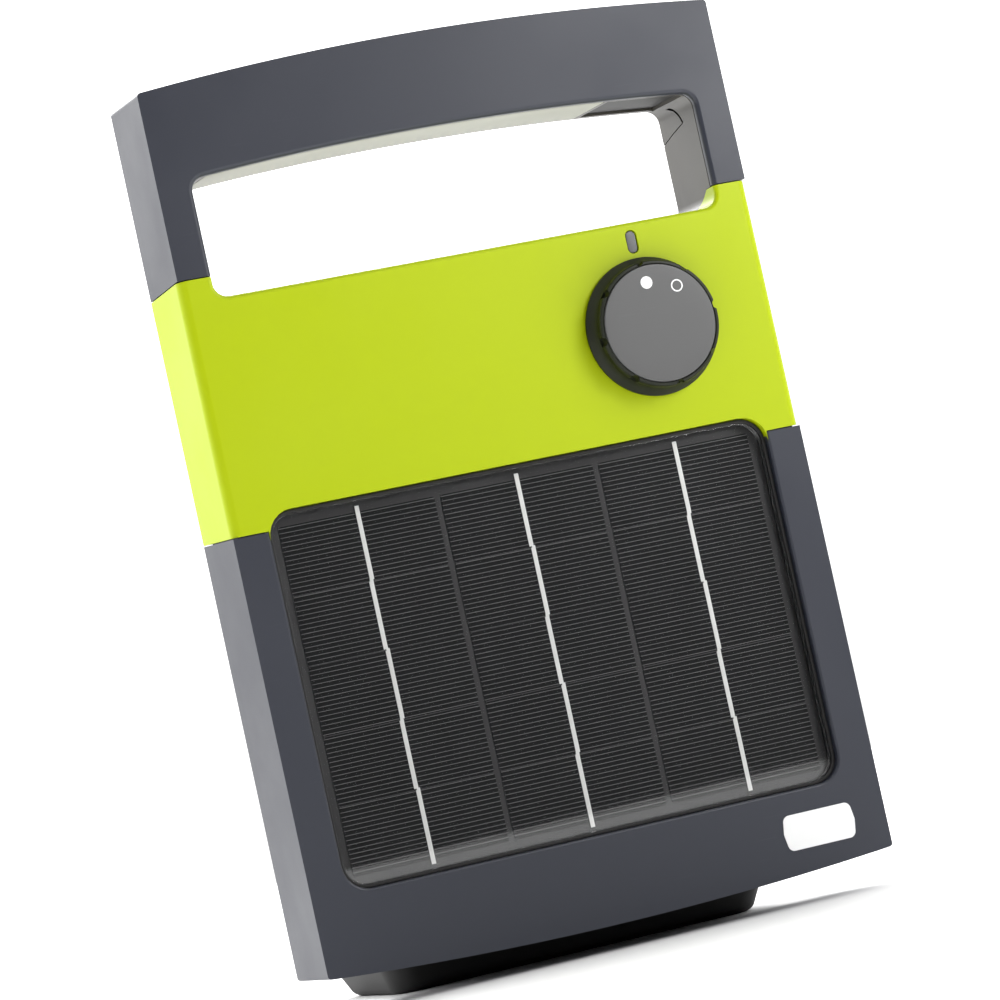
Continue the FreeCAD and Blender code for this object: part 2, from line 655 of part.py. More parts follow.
def solar_cells():
    cells = []
    for column in (-1, 0, 1):
        for line in range(5):
            centre = f"({column} * cell_step_across)"
            low = f"(cells_low + {line} * cell_step_up + (cell_step_up - cell_tall) / 2)"
            x = (f"{centre} - cell_wide / 2", f"{centre} + cell_wide / 2")
            y = (depth(f"({CELL_FRONT} + ribbon_thick)"), depth(SHEET_FRONT))
            cells.append(block(f"cell_{column + 1}_{line}", x, y, (low, f"{low} + cell_tall")))
    together("solar_cells", *cells)
    ribbons = []
    for column in (-1, 0, 1):
        centre = f"({column} * cell_step_across)"
        x = (f"{centre} - ribbon_wide / 2", f"{centre} + ribbon_wide / 2")
        y = (depth(CELL_FRONT), depth(f"({CELL_FRONT} + ribbon_thick)"))
        z = ("cells_low - ribbon_over", "cells_low + 5 * cell_step_up + ribbon_over")
        ribbons.append(block(f"ribbon_{column + 1}", x, y, z))
    together("cell_ribbons", *ribbons)


def panel_parts():
    panel_ring()
    panel_layer("panel_glass", "glass_front", "glass_thick")
    solar_cells()
    panel_layer("panel_backsheet", SHEET_FRONT, "sheet_thick")
    behind = "recess_depth + wall"
    box = block("junction_box", ("-20", "20"), (depth(behind), depth(behind + " + 9")), ("60", "84"))
    keep(box, "junction_box")


# ---- knob, switch and indicator -------------------------------------------------------------

def on_knob_axis(obj, facing, y):
    obj.Placement = Placement(Vector(), facing)
    return bind_place(obj, "knob_across", y, "knob_up")


def knob_grip():
    body = new_body("knob_grip")
    seat = "(knob_height - cap_thick)"
    corners = [("12", "knob_gap"), ("knob_radius", "knob_gap"), ("knob_radius", "knob_gap + 1.2"),
               ("waist_radius", "knob_height / 2 + 0.4"), ("lip_radius", "knob_height - 1.4"),
               ("lip_radius - 0.4", "knob_height - 0.4"), ("cap_radius", "knob_height - 0.4"),
               ("cap_radius", seat), ("shaft_radius", seat), ("shaft_radius", "4.2"), ("12", "4.2")]
    revolve(body, corners)
    turn = "(90 + mark_turn)"
    centre = (f"lip_radius * cos({turn})", f"lip_radius * sin({turn})")
    notch = carve(body, "XY_Plane", "knob_height / 2 + 0.6", "knob_height / 2",
                  circles([centre], "notch_radius"))
    repeat_round(body, notch, 8)
    on_knob_axis(body, FACING_FRONT, FRONT)


def mark(name, turn, hollow):
    x = f"(knob_across - mark_orbit * sin({turn}))"
    z = f"(knob_up + mark_orbit * cos({turn}))"
    place = (x, depth("(mark_deep - knob_height)"), z)
    disc = rod(name, FACING_FRONT, place, "mark_radius", "mark_deep")
    if not hollow:
        return disc
    middle = rod(name + "_middle", FACING_FRONT, place, "mark_radius - mark_line", "mark_deep")
    return subtract(name + "_ring", disc, middle)


def knob_parts():
    knob_grip()
    face = ("knob_across", depth("(cap_thick - knob_height)"), "knob_up")
    cap = rod("cap_disc", FACING_FRONT, face, "cap_radius", "cap_thick")
    off_turn = "(mark_turn - switch_turn)"
    pockets = [mark("on_pocket", "mark_turn", False), mark("off_pocket", off_turn, True)]
    keep(subtract("knob_cap", cap, *pockets), "knob_cap")
    together("knob_marks", mark("on_mark", "mark_turn", False), mark("off_mark", off_turn, True))
    start = ("knob_across", depth("18"), "knob_up")
    keep(rod("knob_shaft", FACING_FRONT, start, "shaft_radius", "18 + knob_height - cap_thick"), "knob_shaft")


def switch_parts():
    low = "(knob_up - switch_wide / 2)"
    bore_radius = "shaft_radius + shaft_play"

    def on_axis(ahead):
        return "knob_across", depth(f"(-{ahead})"), "knob_up"
    housing = block("switch_housing", ("knob_across - switch_wide / 2", "knob_across + switch_wide / 2"),
                    (depth("5"), depth("board_depth")), (low, f"{low} + switch_wide"))
    neck = rod("switch_neck", FACING_BACK, on_axis("2.6"), "bush_radius", "8")
    bore = rod("switch_bore", FACING_BACK, on_axis("3"), bore_radius, "22")
    keep(subtract("switch_body", fuse("switch_solid", housing, neck), bore), "switch_body")
    nut = hexagon("switch_nut_hex", FACING_BACK, on_axis("2.3"), "9", "2.3")
    nut_bore = rod("switch_nut_bore", FACING_BACK, on_axis("3"), "bush_radius", "4")
    keep(subtract("switch_nut", nut, nut_bore), "switch_nut")
    keep(ring("shaft_seal", FACING_BACK, on_axis("3.6"), "bush_radius", bore_radius, "1"), "shaft_seal")


def indicator_parts():
    body = new_body("indicator_lens")
    half = "(lens_wide / 2 - 0.05)"
    lens = rectangle(f"lens_across - {half}", f"lens_across + {half}",
                     "lens_up - lens_tall / 2 + 0.05", "lens_up + lens_tall / 2 - 0.05")
    add(body, "XZ_Plane", depth("0.2"), "5.6", lens)
    place = ("lens_across", depth("6.2"), "board_high - 2.6")
    keep(rod("indicator_led", FACING_BACK, place, "1.5", "board_depth - 6.2"), "indicator_led")


# ---- electronics and battery ----------------------------------------------------------------

BOARD_SCREWS = [(x, z) for x in ("(board_left + board_inset)", "(board_right - board_inset)")
                for z in ("(board_low + board_inset)", "(board_high - board_inset)")]


def electronics():
    body = new_body("circuit_board")
    add(body, "XZ_Plane", depth("board_depth"), "board_thick",
        rectangle("board_left", "board_right", "board_low", "board_high"))
    carve(body, "XZ_Plane", depth("board_depth - 1"), "board_thick + 2",
          circles(BOARD_SCREWS, "screw_radius - 0.25"))
    behind = "(board_depth + board_thick)"
    screws = []
    for i, (x, z) in enumerate(BOARD_SCREWS):
        head = rod(f"board_head_{i}", FACING_BACK, (x, depth(behind), z), "screw_radius + 1", "1.8")
        tip = (x, depth(f"({behind} - 9)"), z)
        shank = rod(f"board_shank_{i}", FACING_BACK, tip, "screw_radius - 0.25", "9")
        screws.append(fuse(f"board_screw_{i}", head, shank))
    together("board_screws", *screws)

    rear = f"({behind} + 27)"
    stack = (depth(f"({behind} + 6)"), depth(f"({rear} - 6)"))
    full = (depth(behind), depth(rear))
    frame = subtract("core_frame", block("core_outer", ("-60", "-22"), stack, ("176", "208")),
                     block("core_window", ("-54", "-28"), full, ("182", "202")))
    leg = block("core_leg", ("-45", "-37"), stack, ("182", "202"))
    keep(fuse("transformer_core", frame, leg), "transformer_core")
    coil = subtract("transformer_coil", block("coil_outer", ("-53.8", "-28.2"), full, ("182.2", "201.8")),
                    block("coil_core", ("-45.1", "-36.9"), full, ("182.2", "201.8")))
    keep(coil, "transformer_coil")

    cans = [rod(f"capacitor_{z}", FACING_RIGHT, ("-6", depth(f"({behind} + 9)"), z), "8.5", "36")
            for z in ("182", "200.5")]
    together("storage_capacitors", *cans)
    tab = block("thyristor_tab", ("-17", "-9"), (depth(behind), depth(f"({behind} + 1.4)")), ("168", "176"))
    chip = block("thyristor_chip", ("-18", "-8"), (depth(behind), depth(f"({behind} + 4.5)")), ("160", "170"))
    keep(fuse("output_thyristor", tab, chip), "output_thyristor")


def battery_parts():
    half = "(battery_wide / 2)"
    back = "(battery_front + battery_deep)"
    front = "(battery_front + strap_thick)"
    body = new_body("battery")
    add(body, "XZ_Plane", depth(front), "battery_deep - strap_thick",
        rectangle("-" + half, half, "battery_low", "(battery_low + battery_tall)"))
    round_off(body, "2", lambda b: runs_along(b, "Y"))
    thin = (depth(f"{back} - 20"), depth(f"{back} - 19.2"))
    tabs = [block(f"battery_tab_{z}", (half, f"{half} + 6"), thin, (z, f"{z} + 4.8")) for z in ("132", "154")]
    together("battery_tabs", *tabs)
    pad = block("battery_foot_pad", ("-" + half, half), (depth(front), depth(back)),
                (SHELL_LOW, "battery_low"))
    keep(pad, "battery_foot_pad")

    low = "(cover_screw_mid - strap_tall / 2)"
    strap = block("strap_bar", (f"-({half} + 16)", f"{half} + 16"),
                  (depth("(battery_front - 1)"), depth("(battery_front + 1)")), (low, f"{low} + strap_tall"))
    holes = []
    screws = []
    for i, sign in enumerate(("-1", "1")):
        across = f"{sign} * ({half} + 10)"
        place = (across, depth("(battery_front - 1 - head_thick)"), "cover_screw_mid")
        holes.append(rod(f"strap_hole_{i}", FACING_BACK, place, "screw_radius", "head_thick + 5"))
        head = rod(f"strap_screw_head_{i}", FACING_BACK, place, "head_radius", "head_thick")
        shank = rod(f"strap_screw_shank_{i}", FACING_BACK, place, "screw_radius", "head_thick + 14")
        screws.append(fuse(f"strap_screw_{i}", head, shank))
    keep(subtract("battery_strap", strap, *holes), "battery_strap")
    together("strap_screws", *screws)


def internal_leads():
    """Each route point is X, depth behind the front face, and Z."""
    upper = [(54.2, 70.8, 156.4), (60.5, 66.0, 157.0), (61.0, 44.0, 163.0), (61.0, 34.0, 169.0),
             (61.0, 24.8, 169.0)]
    lower = [(54.2, 70.8, 134.4), (59.0, 62.0, 135.0), (55.5, 42.0, 150.0), (55.0, 34.0, 165.0),
             (55.0, 24.8, 165.0)]
    leads("battery_leads", [upper, lower], 1.1)
    panel = [[(side * 6.0, 20.1, 70.0), (side * 6.0, 27.0, 70.0), (side * 6.0, 29.0, 92.0),
              (side * 5.5, 30.0, 130.0), (side * 4.0, 32.0, 168.0), (side * 4.0, 24.8, 168.0)]
             for side in (-1, 1)]
    leads("panel_leads", panel, 0.9)


# ---- fence and earth terminals --------------------------------------------------------------

def terminal(name, side):
    x = f"({side} * post_across)"
    bore = "post_radius + shaft_play"
    seat = "(shelf_depth + base_thick)"
    nut_seat = f"({seat} + washer_thick)"

    def on_axis(back):
        return x, depth(back), "post_up"
    keep(rod(name + "_stud", FACING_BACK, on_axis("56"), "post_radius", "post_back - 56"), name + "_stud")
    shelf = on_axis("shelf_depth")
    base = ring(name + "_base", FACING_BACK, shelf, "base_radius", "post_radius", "base_thick")
    keep(base, name + "_base")
    clamp = ring(name + "_washer", FACING_BACK, on_axis(seat), "washer_radius", bore, "washer_thick")
    keep(clamp, name + "_washer")
    insert = ring(name + "_insert", FACING_BACK, on_axis(nut_seat), "insert_radius", bore, "nut_thick - 1")
    keep(insert, name + "_insert")

    body = new_body(name + "_nut")
    corners = [("insert_radius", "0"), ("nut_radius - 1.5", "0"), ("nut_radius", "1.5"),
               ("nut_radius", "nut_thick - 2"), ("nut_radius - 2", "nut_thick"),
               ("post_radius + 0.6", "nut_thick"), ("post_radius + 0.6", "nut_thick - 1"),
               ("insert_radius", "nut_thick - 1")]
    revolve(body, corners)
    flute = carve(body, "XY_Plane", "-1", "nut_thick + 2", circles([("nut_radius + 0.8", "0")], "1.8"))
    repeat_round(body, flute, 12)
    body.Placement = Placement(Vector(), FACING_BACK)
    bind_place(body, x, depth(nut_seat), "post_up")


def stud_fixings():
    """A washer and a hexagon nut on the inner end of each stud."""
    inner = "(shelf_depth - shell_wall)"
    washers = []
    nuts = []
    for i, side in enumerate(("-1", "1")):
        x = f"({side} * post_across)"
        seat = (x, depth(f"({inner} - 1.2)"), "post_up")
        washers.append(ring(f"inner_washer_{i}", FACING_BACK, seat, "8", "post_radius", "1.2"))
        place = (x, depth(f"({inner} - 6.2)"), "post_up")
        nut = hexagon(f"inner_hex_{i}", FACING_BACK, place, "7.5", "5")
        thread = rod(f"inner_thread_{i}", FACING_BACK, place, "post_radius", "5")
        nuts.append(subtract(f"inner_nut_{i}", nut, thread))
    together("stud_washers", *washers)
    together("stud_nuts", *nuts)


lower_case()
mid_cover()
handle_cover()
grip_pad()
handle_back()
rear_shell()
terminal_shell()
battery_cover()
cover_seal()
case_seal()
base_foot()
case_fasteners()
badge_plate()
panel_parts()
knob_parts()
switch_parts()
indicator_parts()
electronics()
battery_parts()
internal_leads()
terminal("fence", "-1")
terminal("earth", "1")
stud_fixings()
doc.recompute()

for obj in doc.Objects:
    failed = [word for word in ("Invalid", "Error") if word in obj.State]
    if failed:
        raise RuntimeError(f"{obj.Name}: {failed}")
    if obj.TypeId == "PartDesign::Pocket" and obj.BaseFeature.Shape.Volume - obj.Shape.Volume < 0.01:
        raise RuntimeError(f"{obj.Name} cuts nothing")
for part in parts:
    if part.Shape.isNull() or not part.Shape.isValid() or not part.Shape.Solids:
        raise RuntimeError(f"{part.Label} has no valid solid")

os.makedirs("parts", exist_ok=True)
for part in parts:
    part.Shape.exportStep(f"parts/{part.Label}.step")
print(len(parts), "parts written")
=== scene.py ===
import math

import bmesh
import bpy
from mathutils import Euler, Matrix, Vector


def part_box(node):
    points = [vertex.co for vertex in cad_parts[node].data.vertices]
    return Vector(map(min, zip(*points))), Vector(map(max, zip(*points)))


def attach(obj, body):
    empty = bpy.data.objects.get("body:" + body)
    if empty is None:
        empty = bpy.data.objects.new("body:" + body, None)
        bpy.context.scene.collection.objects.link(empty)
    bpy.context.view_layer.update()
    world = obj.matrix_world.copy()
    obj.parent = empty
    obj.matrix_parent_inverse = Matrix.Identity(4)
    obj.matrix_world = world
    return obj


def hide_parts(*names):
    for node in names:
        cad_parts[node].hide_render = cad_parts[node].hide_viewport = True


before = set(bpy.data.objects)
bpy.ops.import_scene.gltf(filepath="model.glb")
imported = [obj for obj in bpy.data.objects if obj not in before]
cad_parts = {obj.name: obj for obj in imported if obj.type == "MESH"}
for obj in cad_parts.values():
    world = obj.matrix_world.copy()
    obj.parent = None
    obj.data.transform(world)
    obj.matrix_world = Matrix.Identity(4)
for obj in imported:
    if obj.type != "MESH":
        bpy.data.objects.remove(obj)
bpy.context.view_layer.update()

bpy.ops.object.select_all(action="DESELECT")
mm = 0.001
print("frame loaded")

# Main lines of the case, all taken from the CAD nodes' boxes.
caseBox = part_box("lower_case")
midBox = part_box("mid_cover")
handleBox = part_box("handle_cover")
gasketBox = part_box("panel_gasket")
halfWidth = midBox[1][0]
front = midBox[0][1]
flankBack = midBox[1][1]
lowSeam = midBox[0][2]
highSeam = midBox[1][2]
panelHalf = gasketBox[1][0]
panelLow = gasketBox[0][2]
panelHigh = gasketBox[1][2]

case = {"topRise": 5.1 * mm, "bottomDrop": 4.0 * mm, "cornerRound": 1.2 * mm, "flankRound": 3.1 * mm,
        "seamGap": 0.34 * mm, "seamBevel": 0.22 * mm, "highFall": 1.5 * mm, "lowClimb": 1.0 * mm,
        "skin": 2.6 * mm, "lipDepth": 3.4 * mm}
opening = {"half": 85.7 * mm, "low": 224.8 * mm, "high": 262.4 * mm, "rise": 3.7 * mm, "round": 4.5 * mm,
           "edge": 1.5 * mm, "liner": 1.4 * mm, "lip": 2.6 * mm, "ledge": 13.5 * mm, "flangeRun": 6.4 * mm}
panelRound = 8.5 * mm


# ---- modelling helpers ----

def activate(piece):
    bpy.ops.object.select_all(action="DESELECT")
    piece.select_set(True)
    bpy.context.view_layer.objects.active = piece


def editOn(piece):
    activate(piece)
    bpy.ops.object.mode_set(mode="EDIT")


def editOff():
    bpy.ops.object.mode_set(mode="OBJECT")


def pickEdges(test):
    bpy.ops.mesh.select_mode(type="EDGE")
    bpy.ops.mesh.select_all(action="DESELECT")
    cage = bmesh.from_edit_mesh(bpy.context.object.data)
    for edge in cage.edges:
        edge.select_set(bool(test(edge.verts[0].co, edge.verts[1].co)))
    bmesh.update_edit_mesh(bpy.context.object.data)


def pickFaces(test):
    bpy.ops.mesh.select_mode(type="FACE")
    bpy.ops.mesh.select_all(action="DESELECT")
    cage = bmesh.from_edit_mesh(bpy.context.object.data)
    cage.normal_update()
    for face in cage.faces:
        face.select_set(bool(test(face.calc_center_median(), face.normal)))
    bmesh.update_edit_mesh(bpy.context.object.data)


def bevelEdges(test, width, segments=3):
    pickEdges(test)
    bpy.ops.mesh.bevel(offset=width, segments=segments, affect="EDGES", clamp_overlap=True)


def recessFaces(test, depth):
    """Push faces into the solid along their own normals, which leaves a step round them."""
    pickFaces(test)
    bpy.ops.mesh.extrude_region_shrink_fatten(TRANSFORM_OT_shrink_fatten={"value": -depth})


def near(a, b, reach=0.05 * mm):
    return abs(a - b) < reach


def plate(name, outline, low, high, axis="Y"):
    """A closed outline drawn as an n-gon across an axis and extruded along it."""
    bpy.ops.object.select_all(action="DESELECT")
    bpy.ops.mesh.primitive_circle_add(vertices=len(outline), fill_type="NGON")
    piece = bpy.context.object
    piece.name = name
    for vertex, (a, b) in zip(piece.data.vertices, outline):
        vertex.co = {"X": (low, a, b), "Y": (a, low, b), "Z": (a, b, low)}[axis]
    run = {"X": (high - low, 0, 0), "Y": (0, high - low, 0), "Z": (0, 0, high - low)}[axis]
    editOn(piece)
    bpy.ops.mesh.select_all(action="SELECT")
    bpy.ops.mesh.extrude_region_move(TRANSFORM_OT_translate={"value": run})
    bpy.ops.mesh.select_all(action="SELECT")
    bpy.ops.mesh.normals_make_consistent(inside=False)
    editOff()
    return piece


def roundCorner(before, corner, after, radius, steps=6):
    inward = (Vector(before) - Vector(corner)).normalized()
    outward = (Vector(after) - Vector(corner)).normalized()
    half = inward.angle(outward) / 2
    reach = radius / math.tan(half)
    start = Vector(corner) + inward * reach
    centre = Vector(corner) + (inward + outward).normalized() * (radius / math.sin(half))
    spoke = start - centre
    turn = math.pi - 2 * half
    if inward.x * outward.y - inward.y * outward.x > 0:
        turn = -turn
    return [tuple(centre + Matrix.Rotation(turn * i / steps, 2) @ spoke) for i in range(steps + 1)]


def outlineFrom(corners):
    """Corners are (a, b) or (a, b, radius); a radius turns the corner into an arc."""
    points = []
    for i, corner in enumerate(corners):
        if len(corner) < 3:
            points.append(tuple(corner))
        else:
            before = corners[i - 1][:2]
            after = corners[(i + 1) % len(corners)][:2]
            points += roundCorner(before, corner[:2], after, corner[2])
    return points


def arch(fromX, toX, height, rise, half, steps):
    """Points inside a shallow arch that stands on half its span, without its two ends."""
    xs = [fromX + (toX - fromX) * i / steps for i in range(1, steps)]
    return [(x, height + rise * (1 - (x / half) ** 2)) for x in xs]


def roundedBox(x0, x1, y0, y1, radius):
    return outlineFrom([(x0, y0, radius), (x1, y0, radius), (x1, y1, radius), (x0, y1, radius)])


def modify(piece, kind, **settings):
    activate(piece)
    modifier = piece.modifiers.new(kind.lower(), kind)
    for name, value in settings.items():
        setattr(modifier, name, value)
    bpy.ops.object.modifier_apply(modifier=modifier.name)


def cutAway(piece, *cutters):
    for cutter in cutters:
        modify(piece, "BOOLEAN", operation="DIFFERENCE", object=cutter, solver="EXACT")
        bpy.data.objects.remove(cutter)


def rod(name, centre, radius, length, axis="Y", vertices=32):
    turn = {"X": (0, math.pi / 2, 0), "Y": (math.pi / 2, 0, 0), "Z": (0, 0, 0)}[axis]
    bpy.ops.object.select_all(action="DESELECT")
    bpy.ops.mesh.primitive_cylinder_add(vertices=vertices, radius=radius, depth=length, location=centre, rotation=turn)
    bpy.ops.object.transform_apply(location=True, rotation=True, scale=True)
    bpy.context.object.name = name
    return bpy.context.object


def block(name, low, high):
    bpy.ops.object.select_all(action="DESELECT")
    bpy.ops.mesh.primitive_cube_add(size=1, location=[(a + b) / 2 for a, b in zip(low, high)])
    bpy.context.object.scale = [b - a for a, b in zip(low, high)]
    bpy.ops.object.transform_apply(location=True, rotation=True, scale=True)
    bpy.context.object.name = name
    return bpy.context.object


def joined(name, pieces):
    bpy.ops.object.select_all(action="DESELECT")
    for piece in pieces:
        piece.select_set(True)
    bpy.context.view_layer.objects.active = pieces[0]
    bpy.ops.object.join()
    bpy.context.object.name = name
    return bpy.context.object


def lathe(name, profile, centre, outward, steps=64, closed=False):
    """Turn a profile of (radius, height) about a Y-wise axis; outward is -1 for the front and 1 for the back."""
    bpy.ops.object.select_all(action="DESELECT")
    bpy.ops.mesh.primitive_circle_add(vertices=steps, radius=profile[0][0], fill_type="NOTHING", rotation=(math.pi / 2, 0, 0))
    bpy.ops.object.transform_apply(location=True, rotation=True, scale=True)
    piece = bpy.context.object
    piece.name = name
    editOn(piece)
    bpy.ops.mesh.select_mode(type="VERT")
    bpy.ops.mesh.select_all(action="SELECT")
    radius, height = profile[0]
    cage = bmesh.from_edit_mesh(piece.data)
    for vertex in cage.verts:
        vertex.co.y = height * outward
    bmesh.update_edit_mesh(piece.data)
    for nextRadius, nextHeight in profile[1:]:
        bpy.ops.mesh.extrude_edges_move()
        cage = bmesh.from_edit_mesh(piece.data)
        for vertex in cage.verts:
            if vertex.select:
                vertex.co.x *= nextRadius / radius
                vertex.co.z *= nextRadius / radius
                vertex.co.y = nextHeight * outward
        bmesh.update_edit_mesh(piece.data)
        radius = nextRadius
    if closed:
        bpy.ops.mesh.select_all(action="SELECT")
        bpy.ops.mesh.remove_doubles(threshold=0.001 * mm)
    else:
        bpy.ops.mesh.edge_face_add()
        pickEdges(lambda a, b: near(a.y, profile[0][1] * outward) and near(b.y, profile[0][1] * outward)
                  and near(Vector((a.x, a.z)).length, profile[0][0]) and near(Vector((b.x, b.z)).length, profile[0][0]))
        bpy.ops.mesh.edge_face_add()
    bpy.ops.mesh.select_all(action="SELECT")
    bpy.ops.mesh.normals_make_consistent(inside=False)
    bpy.ops.transform.translate(value=centre)
    editOff()
    return piece


def smooth(piece, angle=32):
    activate(piece)
    bpy.ops.object.shade_smooth_by_angle(angle=math.radians(angle))
    modify(piece, "WEIGHTED_NORMAL", keep_sharp=True, weight=50)


def placePiece(piece, material, body, slot, *nodes, angle=32):
    smooth(piece, angle)
    piece.data.materials.clear()
    piece.data.materials.append(material)
    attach(piece, body)
    if nodes:
        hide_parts(*nodes)
    return piece


# ---- shader groups ----

def newGroup(name, inputs, outputs):
    group = bpy.data.node_groups.new(name, "ShaderNodeTree")
    for label, kind, value in inputs:
        socket = group.interface.new_socket(name=label, in_out="INPUT", socket_type=kind)
        if value is not None:
            socket.default_value = value
    for label, kind in outputs:
        group.interface.new_socket(name=label, in_out="OUTPUT", socket_type=kind)
    entry = group.nodes.new("NodeGroupInput")
    leave = group.nodes.new("NodeGroupOutput")
    return group, entry, leave


def addNode(tree, kind, settings=None, **values):
    node = tree.nodes.new(kind)
    for name, value in (settings or {}).items():
        setattr(node, name, value)
    for name, value in values.items():
        node.inputs[name].default_value = value
    return node


def wire(tree, source, target):
    tree.links.new(source, target)


def mathNode(tree, operation, first, second=None, clamp=False):
    node = tree.nodes.new("ShaderNodeMath")
    node.operation = operation
    node.use_clamp = clamp
    for i, value in enumerate((first, second)):
        if value is None:
            continue
        if isinstance(value, (int, float)):
            node.inputs[i].default_value = value
        else:
            tree.links.new(value, node.inputs[i])
    return node.outputs[0]


def buildGrain():
    """Spark-eroded moulding grain: a height for a Bump node."""
    group, entry, leave = newGroup("mouldGrain", [("Vector", "NodeSocketVector", None), ("Scale", "NodeSocketFloat", 2400.0)],
                                   [("Height", "NodeSocketFloat")])
    fine = addNode(group, "ShaderNodeTexNoise", Detail=3.0, Roughness=0.6)
    pits = addNode(group, "ShaderNodeTexVoronoi", {"feature": "SMOOTH_F1"}, Smoothness=0.6)
    wire(group, entry.outputs["Vector"], fine.inputs["Vector"])
    wire(group, entry.outputs["Vector"], pits.inputs["Vector"])
    wire(group, entry.outputs["Scale"], fine.inputs["Scale"])
    wire(group, mathNode(group, "MULTIPLY", entry.outputs["Scale"], 0.55), pits.inputs["Scale"])
    total = mathNode(group, "ADD", mathNode(group, "MULTIPLY", fine.outputs["Fac"], 0.7),
                     mathNode(group, "MULTIPLY", pits.outputs["Distance"], 0.5))
    wire(group, total, leave.inputs["Height"])
    return group


def buildHandling():
    """Soft smudges, settled dust and hairline scuffs, as masks."""
    group, entry, leave = newGroup("handling", [("Vector", "NodeSocketVector", None)],
                                   [("Smudge", "NodeSocketFloat"), ("Dust", "NodeSocketFloat"), ("Scuff", "NodeSocketFloat")])
    cloud = addNode(group, "ShaderNodeTexNoise", Scale=22.0, Detail=5.0, Roughness=0.55, Distortion=0.4)
    wire(group, entry.outputs["Vector"], cloud.inputs["Vector"])
    smudge = addNode(group, "ShaderNodeMapRange", **{"From Min": 0.38, "From Max": 0.68})
    wire(group, cloud.outputs["Fac"], smudge.inputs["Value"])
    wire(group, smudge.outputs["Result"], leave.inputs["Smudge"])
    specks = addNode(group, "ShaderNodeTexNoise", Scale=900.0, Detail=2.0, Roughness=0.7)
    wire(group, entry.outputs["Vector"], specks.inputs["Vector"])
    rare = addNode(group, "ShaderNodeMapRange", **{"From Min": 0.66, "From Max": 0.74})
    wire(group, specks.outputs["Fac"], rare.inputs["Value"])
    geometry = group.nodes.new("ShaderNodeNewGeometry")
    split = group.nodes.new("ShaderNodeSeparateXYZ")
    wire(group, geometry.outputs["Normal"], split.inputs["Vector"])
    upward = mathNode(group, "ADD", mathNode(group, "MULTIPLY", split.outputs["Z"], 0.8, True), 0.12, True)
    wire(group, mathNode(group, "MULTIPLY", rare.outputs["Result"], upward, True), leave.inputs["Dust"])
    stretch = addNode(group, "ShaderNodeMapping", Scale=(60.0, 900.0, 1400.0), Rotation=(0.2, 0.5, 0.9))
    wire(group, entry.outputs["Vector"], stretch.inputs["Vector"])
    hair = addNode(group, "ShaderNodeTexNoise", Scale=1.0, Detail=1.0, Roughness=0.5)
    wire(group, stretch.outputs["Vector"], hair.inputs["Vector"])
    thin = addNode(group, "ShaderNodeMapRange", **{"From Min": 0.70, "From Max": 0.76})
    wire(group, hair.outputs["Fac"], thin.inputs["Value"])
    wire(group, mathNode(group, "MULTIPLY", thin.outputs["Result"], smudge.outputs["Result"]), leave.inputs["Scuff"])
    return group


grainGroup = buildGrain()
handlingGroup = buildHandling()


def plainMaterial(name, colour, roughness, metallic=0.0, specular=0.5, coat=0.0, coatRoughness=0.1):
    material = bpy.data.materials.new(name)
    material.use_nodes = True
    shader = material.node_tree.nodes["Principled BSDF"]
    shader.inputs["Base Color"].default_value = (*colour, 1.0)
    shader.inputs["Roughness"].default_value = roughness
    shader.inputs["Metallic"].default_value = metallic
    shader.inputs["Specular IOR Level"].default_value = specular
    shader.inputs["Coat Weight"].default_value = coat
    shader.inputs["Coat Roughness"].default_value = coatRoughness
    return material


def finishedMaterial(name, look):
    """A solid finish with moulding grain, uneven gloss and a trace of use."""
    material = plainMaterial(name, look["colour"], look["roughness"], look.get("metallic", 0.0),
                             look.get("specular", 0.5), look.get("coat", 0.0), look.get("coatRoughness", 0.1))
    tree = material.node_tree
    shader = tree.nodes["Principled BSDF"]
    coordinates = tree.nodes.new("ShaderNodeTexCoord")
    grain = addNode(tree, "ShaderNodeGroup", {"node_tree": grainGroup})
    grain.inputs["Scale"].default_value = look.get("grainScale", 2400.0)
    wire(tree, coordinates.outputs["Object"], grain.inputs["Vector"])
    bump = addNode(tree, "ShaderNodeBump", Strength=look.get("grainStrength", 0.12), Distance=look.get("grainDepth", 0.00003))
    wire(tree, grain.outputs["Height"], bump.inputs["Height"])
    wire(tree, bump.outputs["Normal"], shader.inputs["Normal"])
    wear = addNode(tree, "ShaderNodeGroup", {"node_tree": handlingGroup})
    wire(tree, coordinates.outputs["Object"], wear.inputs["Vector"])
    spread = look.get("uneven", 0.08)
    rough = mathNode(tree, "ADD", mathNode(tree, "MULTIPLY", wear.outputs["Smudge"], spread), look["roughness"] - spread / 2)
    rough = mathNode(tree, "ADD", rough, mathNode(tree, "MULTIPLY", wear.outputs["Dust"], 0.3), True)
    wire(tree, rough, shader.inputs["Roughness"])
    shade = addNode(tree, "ShaderNodeMix", {"data_type": "RGBA"})
    shade.inputs[6].default_value = (*look["colour"], 1.0)
    shade.inputs[7].default_value = (*look.get("dustColour", [min(1.0, c * 1.25 + 0.03) for c in look["colour"]]), 1.0)
    amount = mathNode(tree, "ADD", mathNode(tree, "MULTIPLY", wear.outputs["Dust"], look.get("dust", 0.35)),
                      mathNode(tree, "MULTIPLY", wear.outputs["Scuff"], look.get("scuff", 0.12)), True)
    wire(tree, amount, shade.inputs[0])
    wire(tree, shade.outputs[2], shader.inputs["Base Color"])
    return material


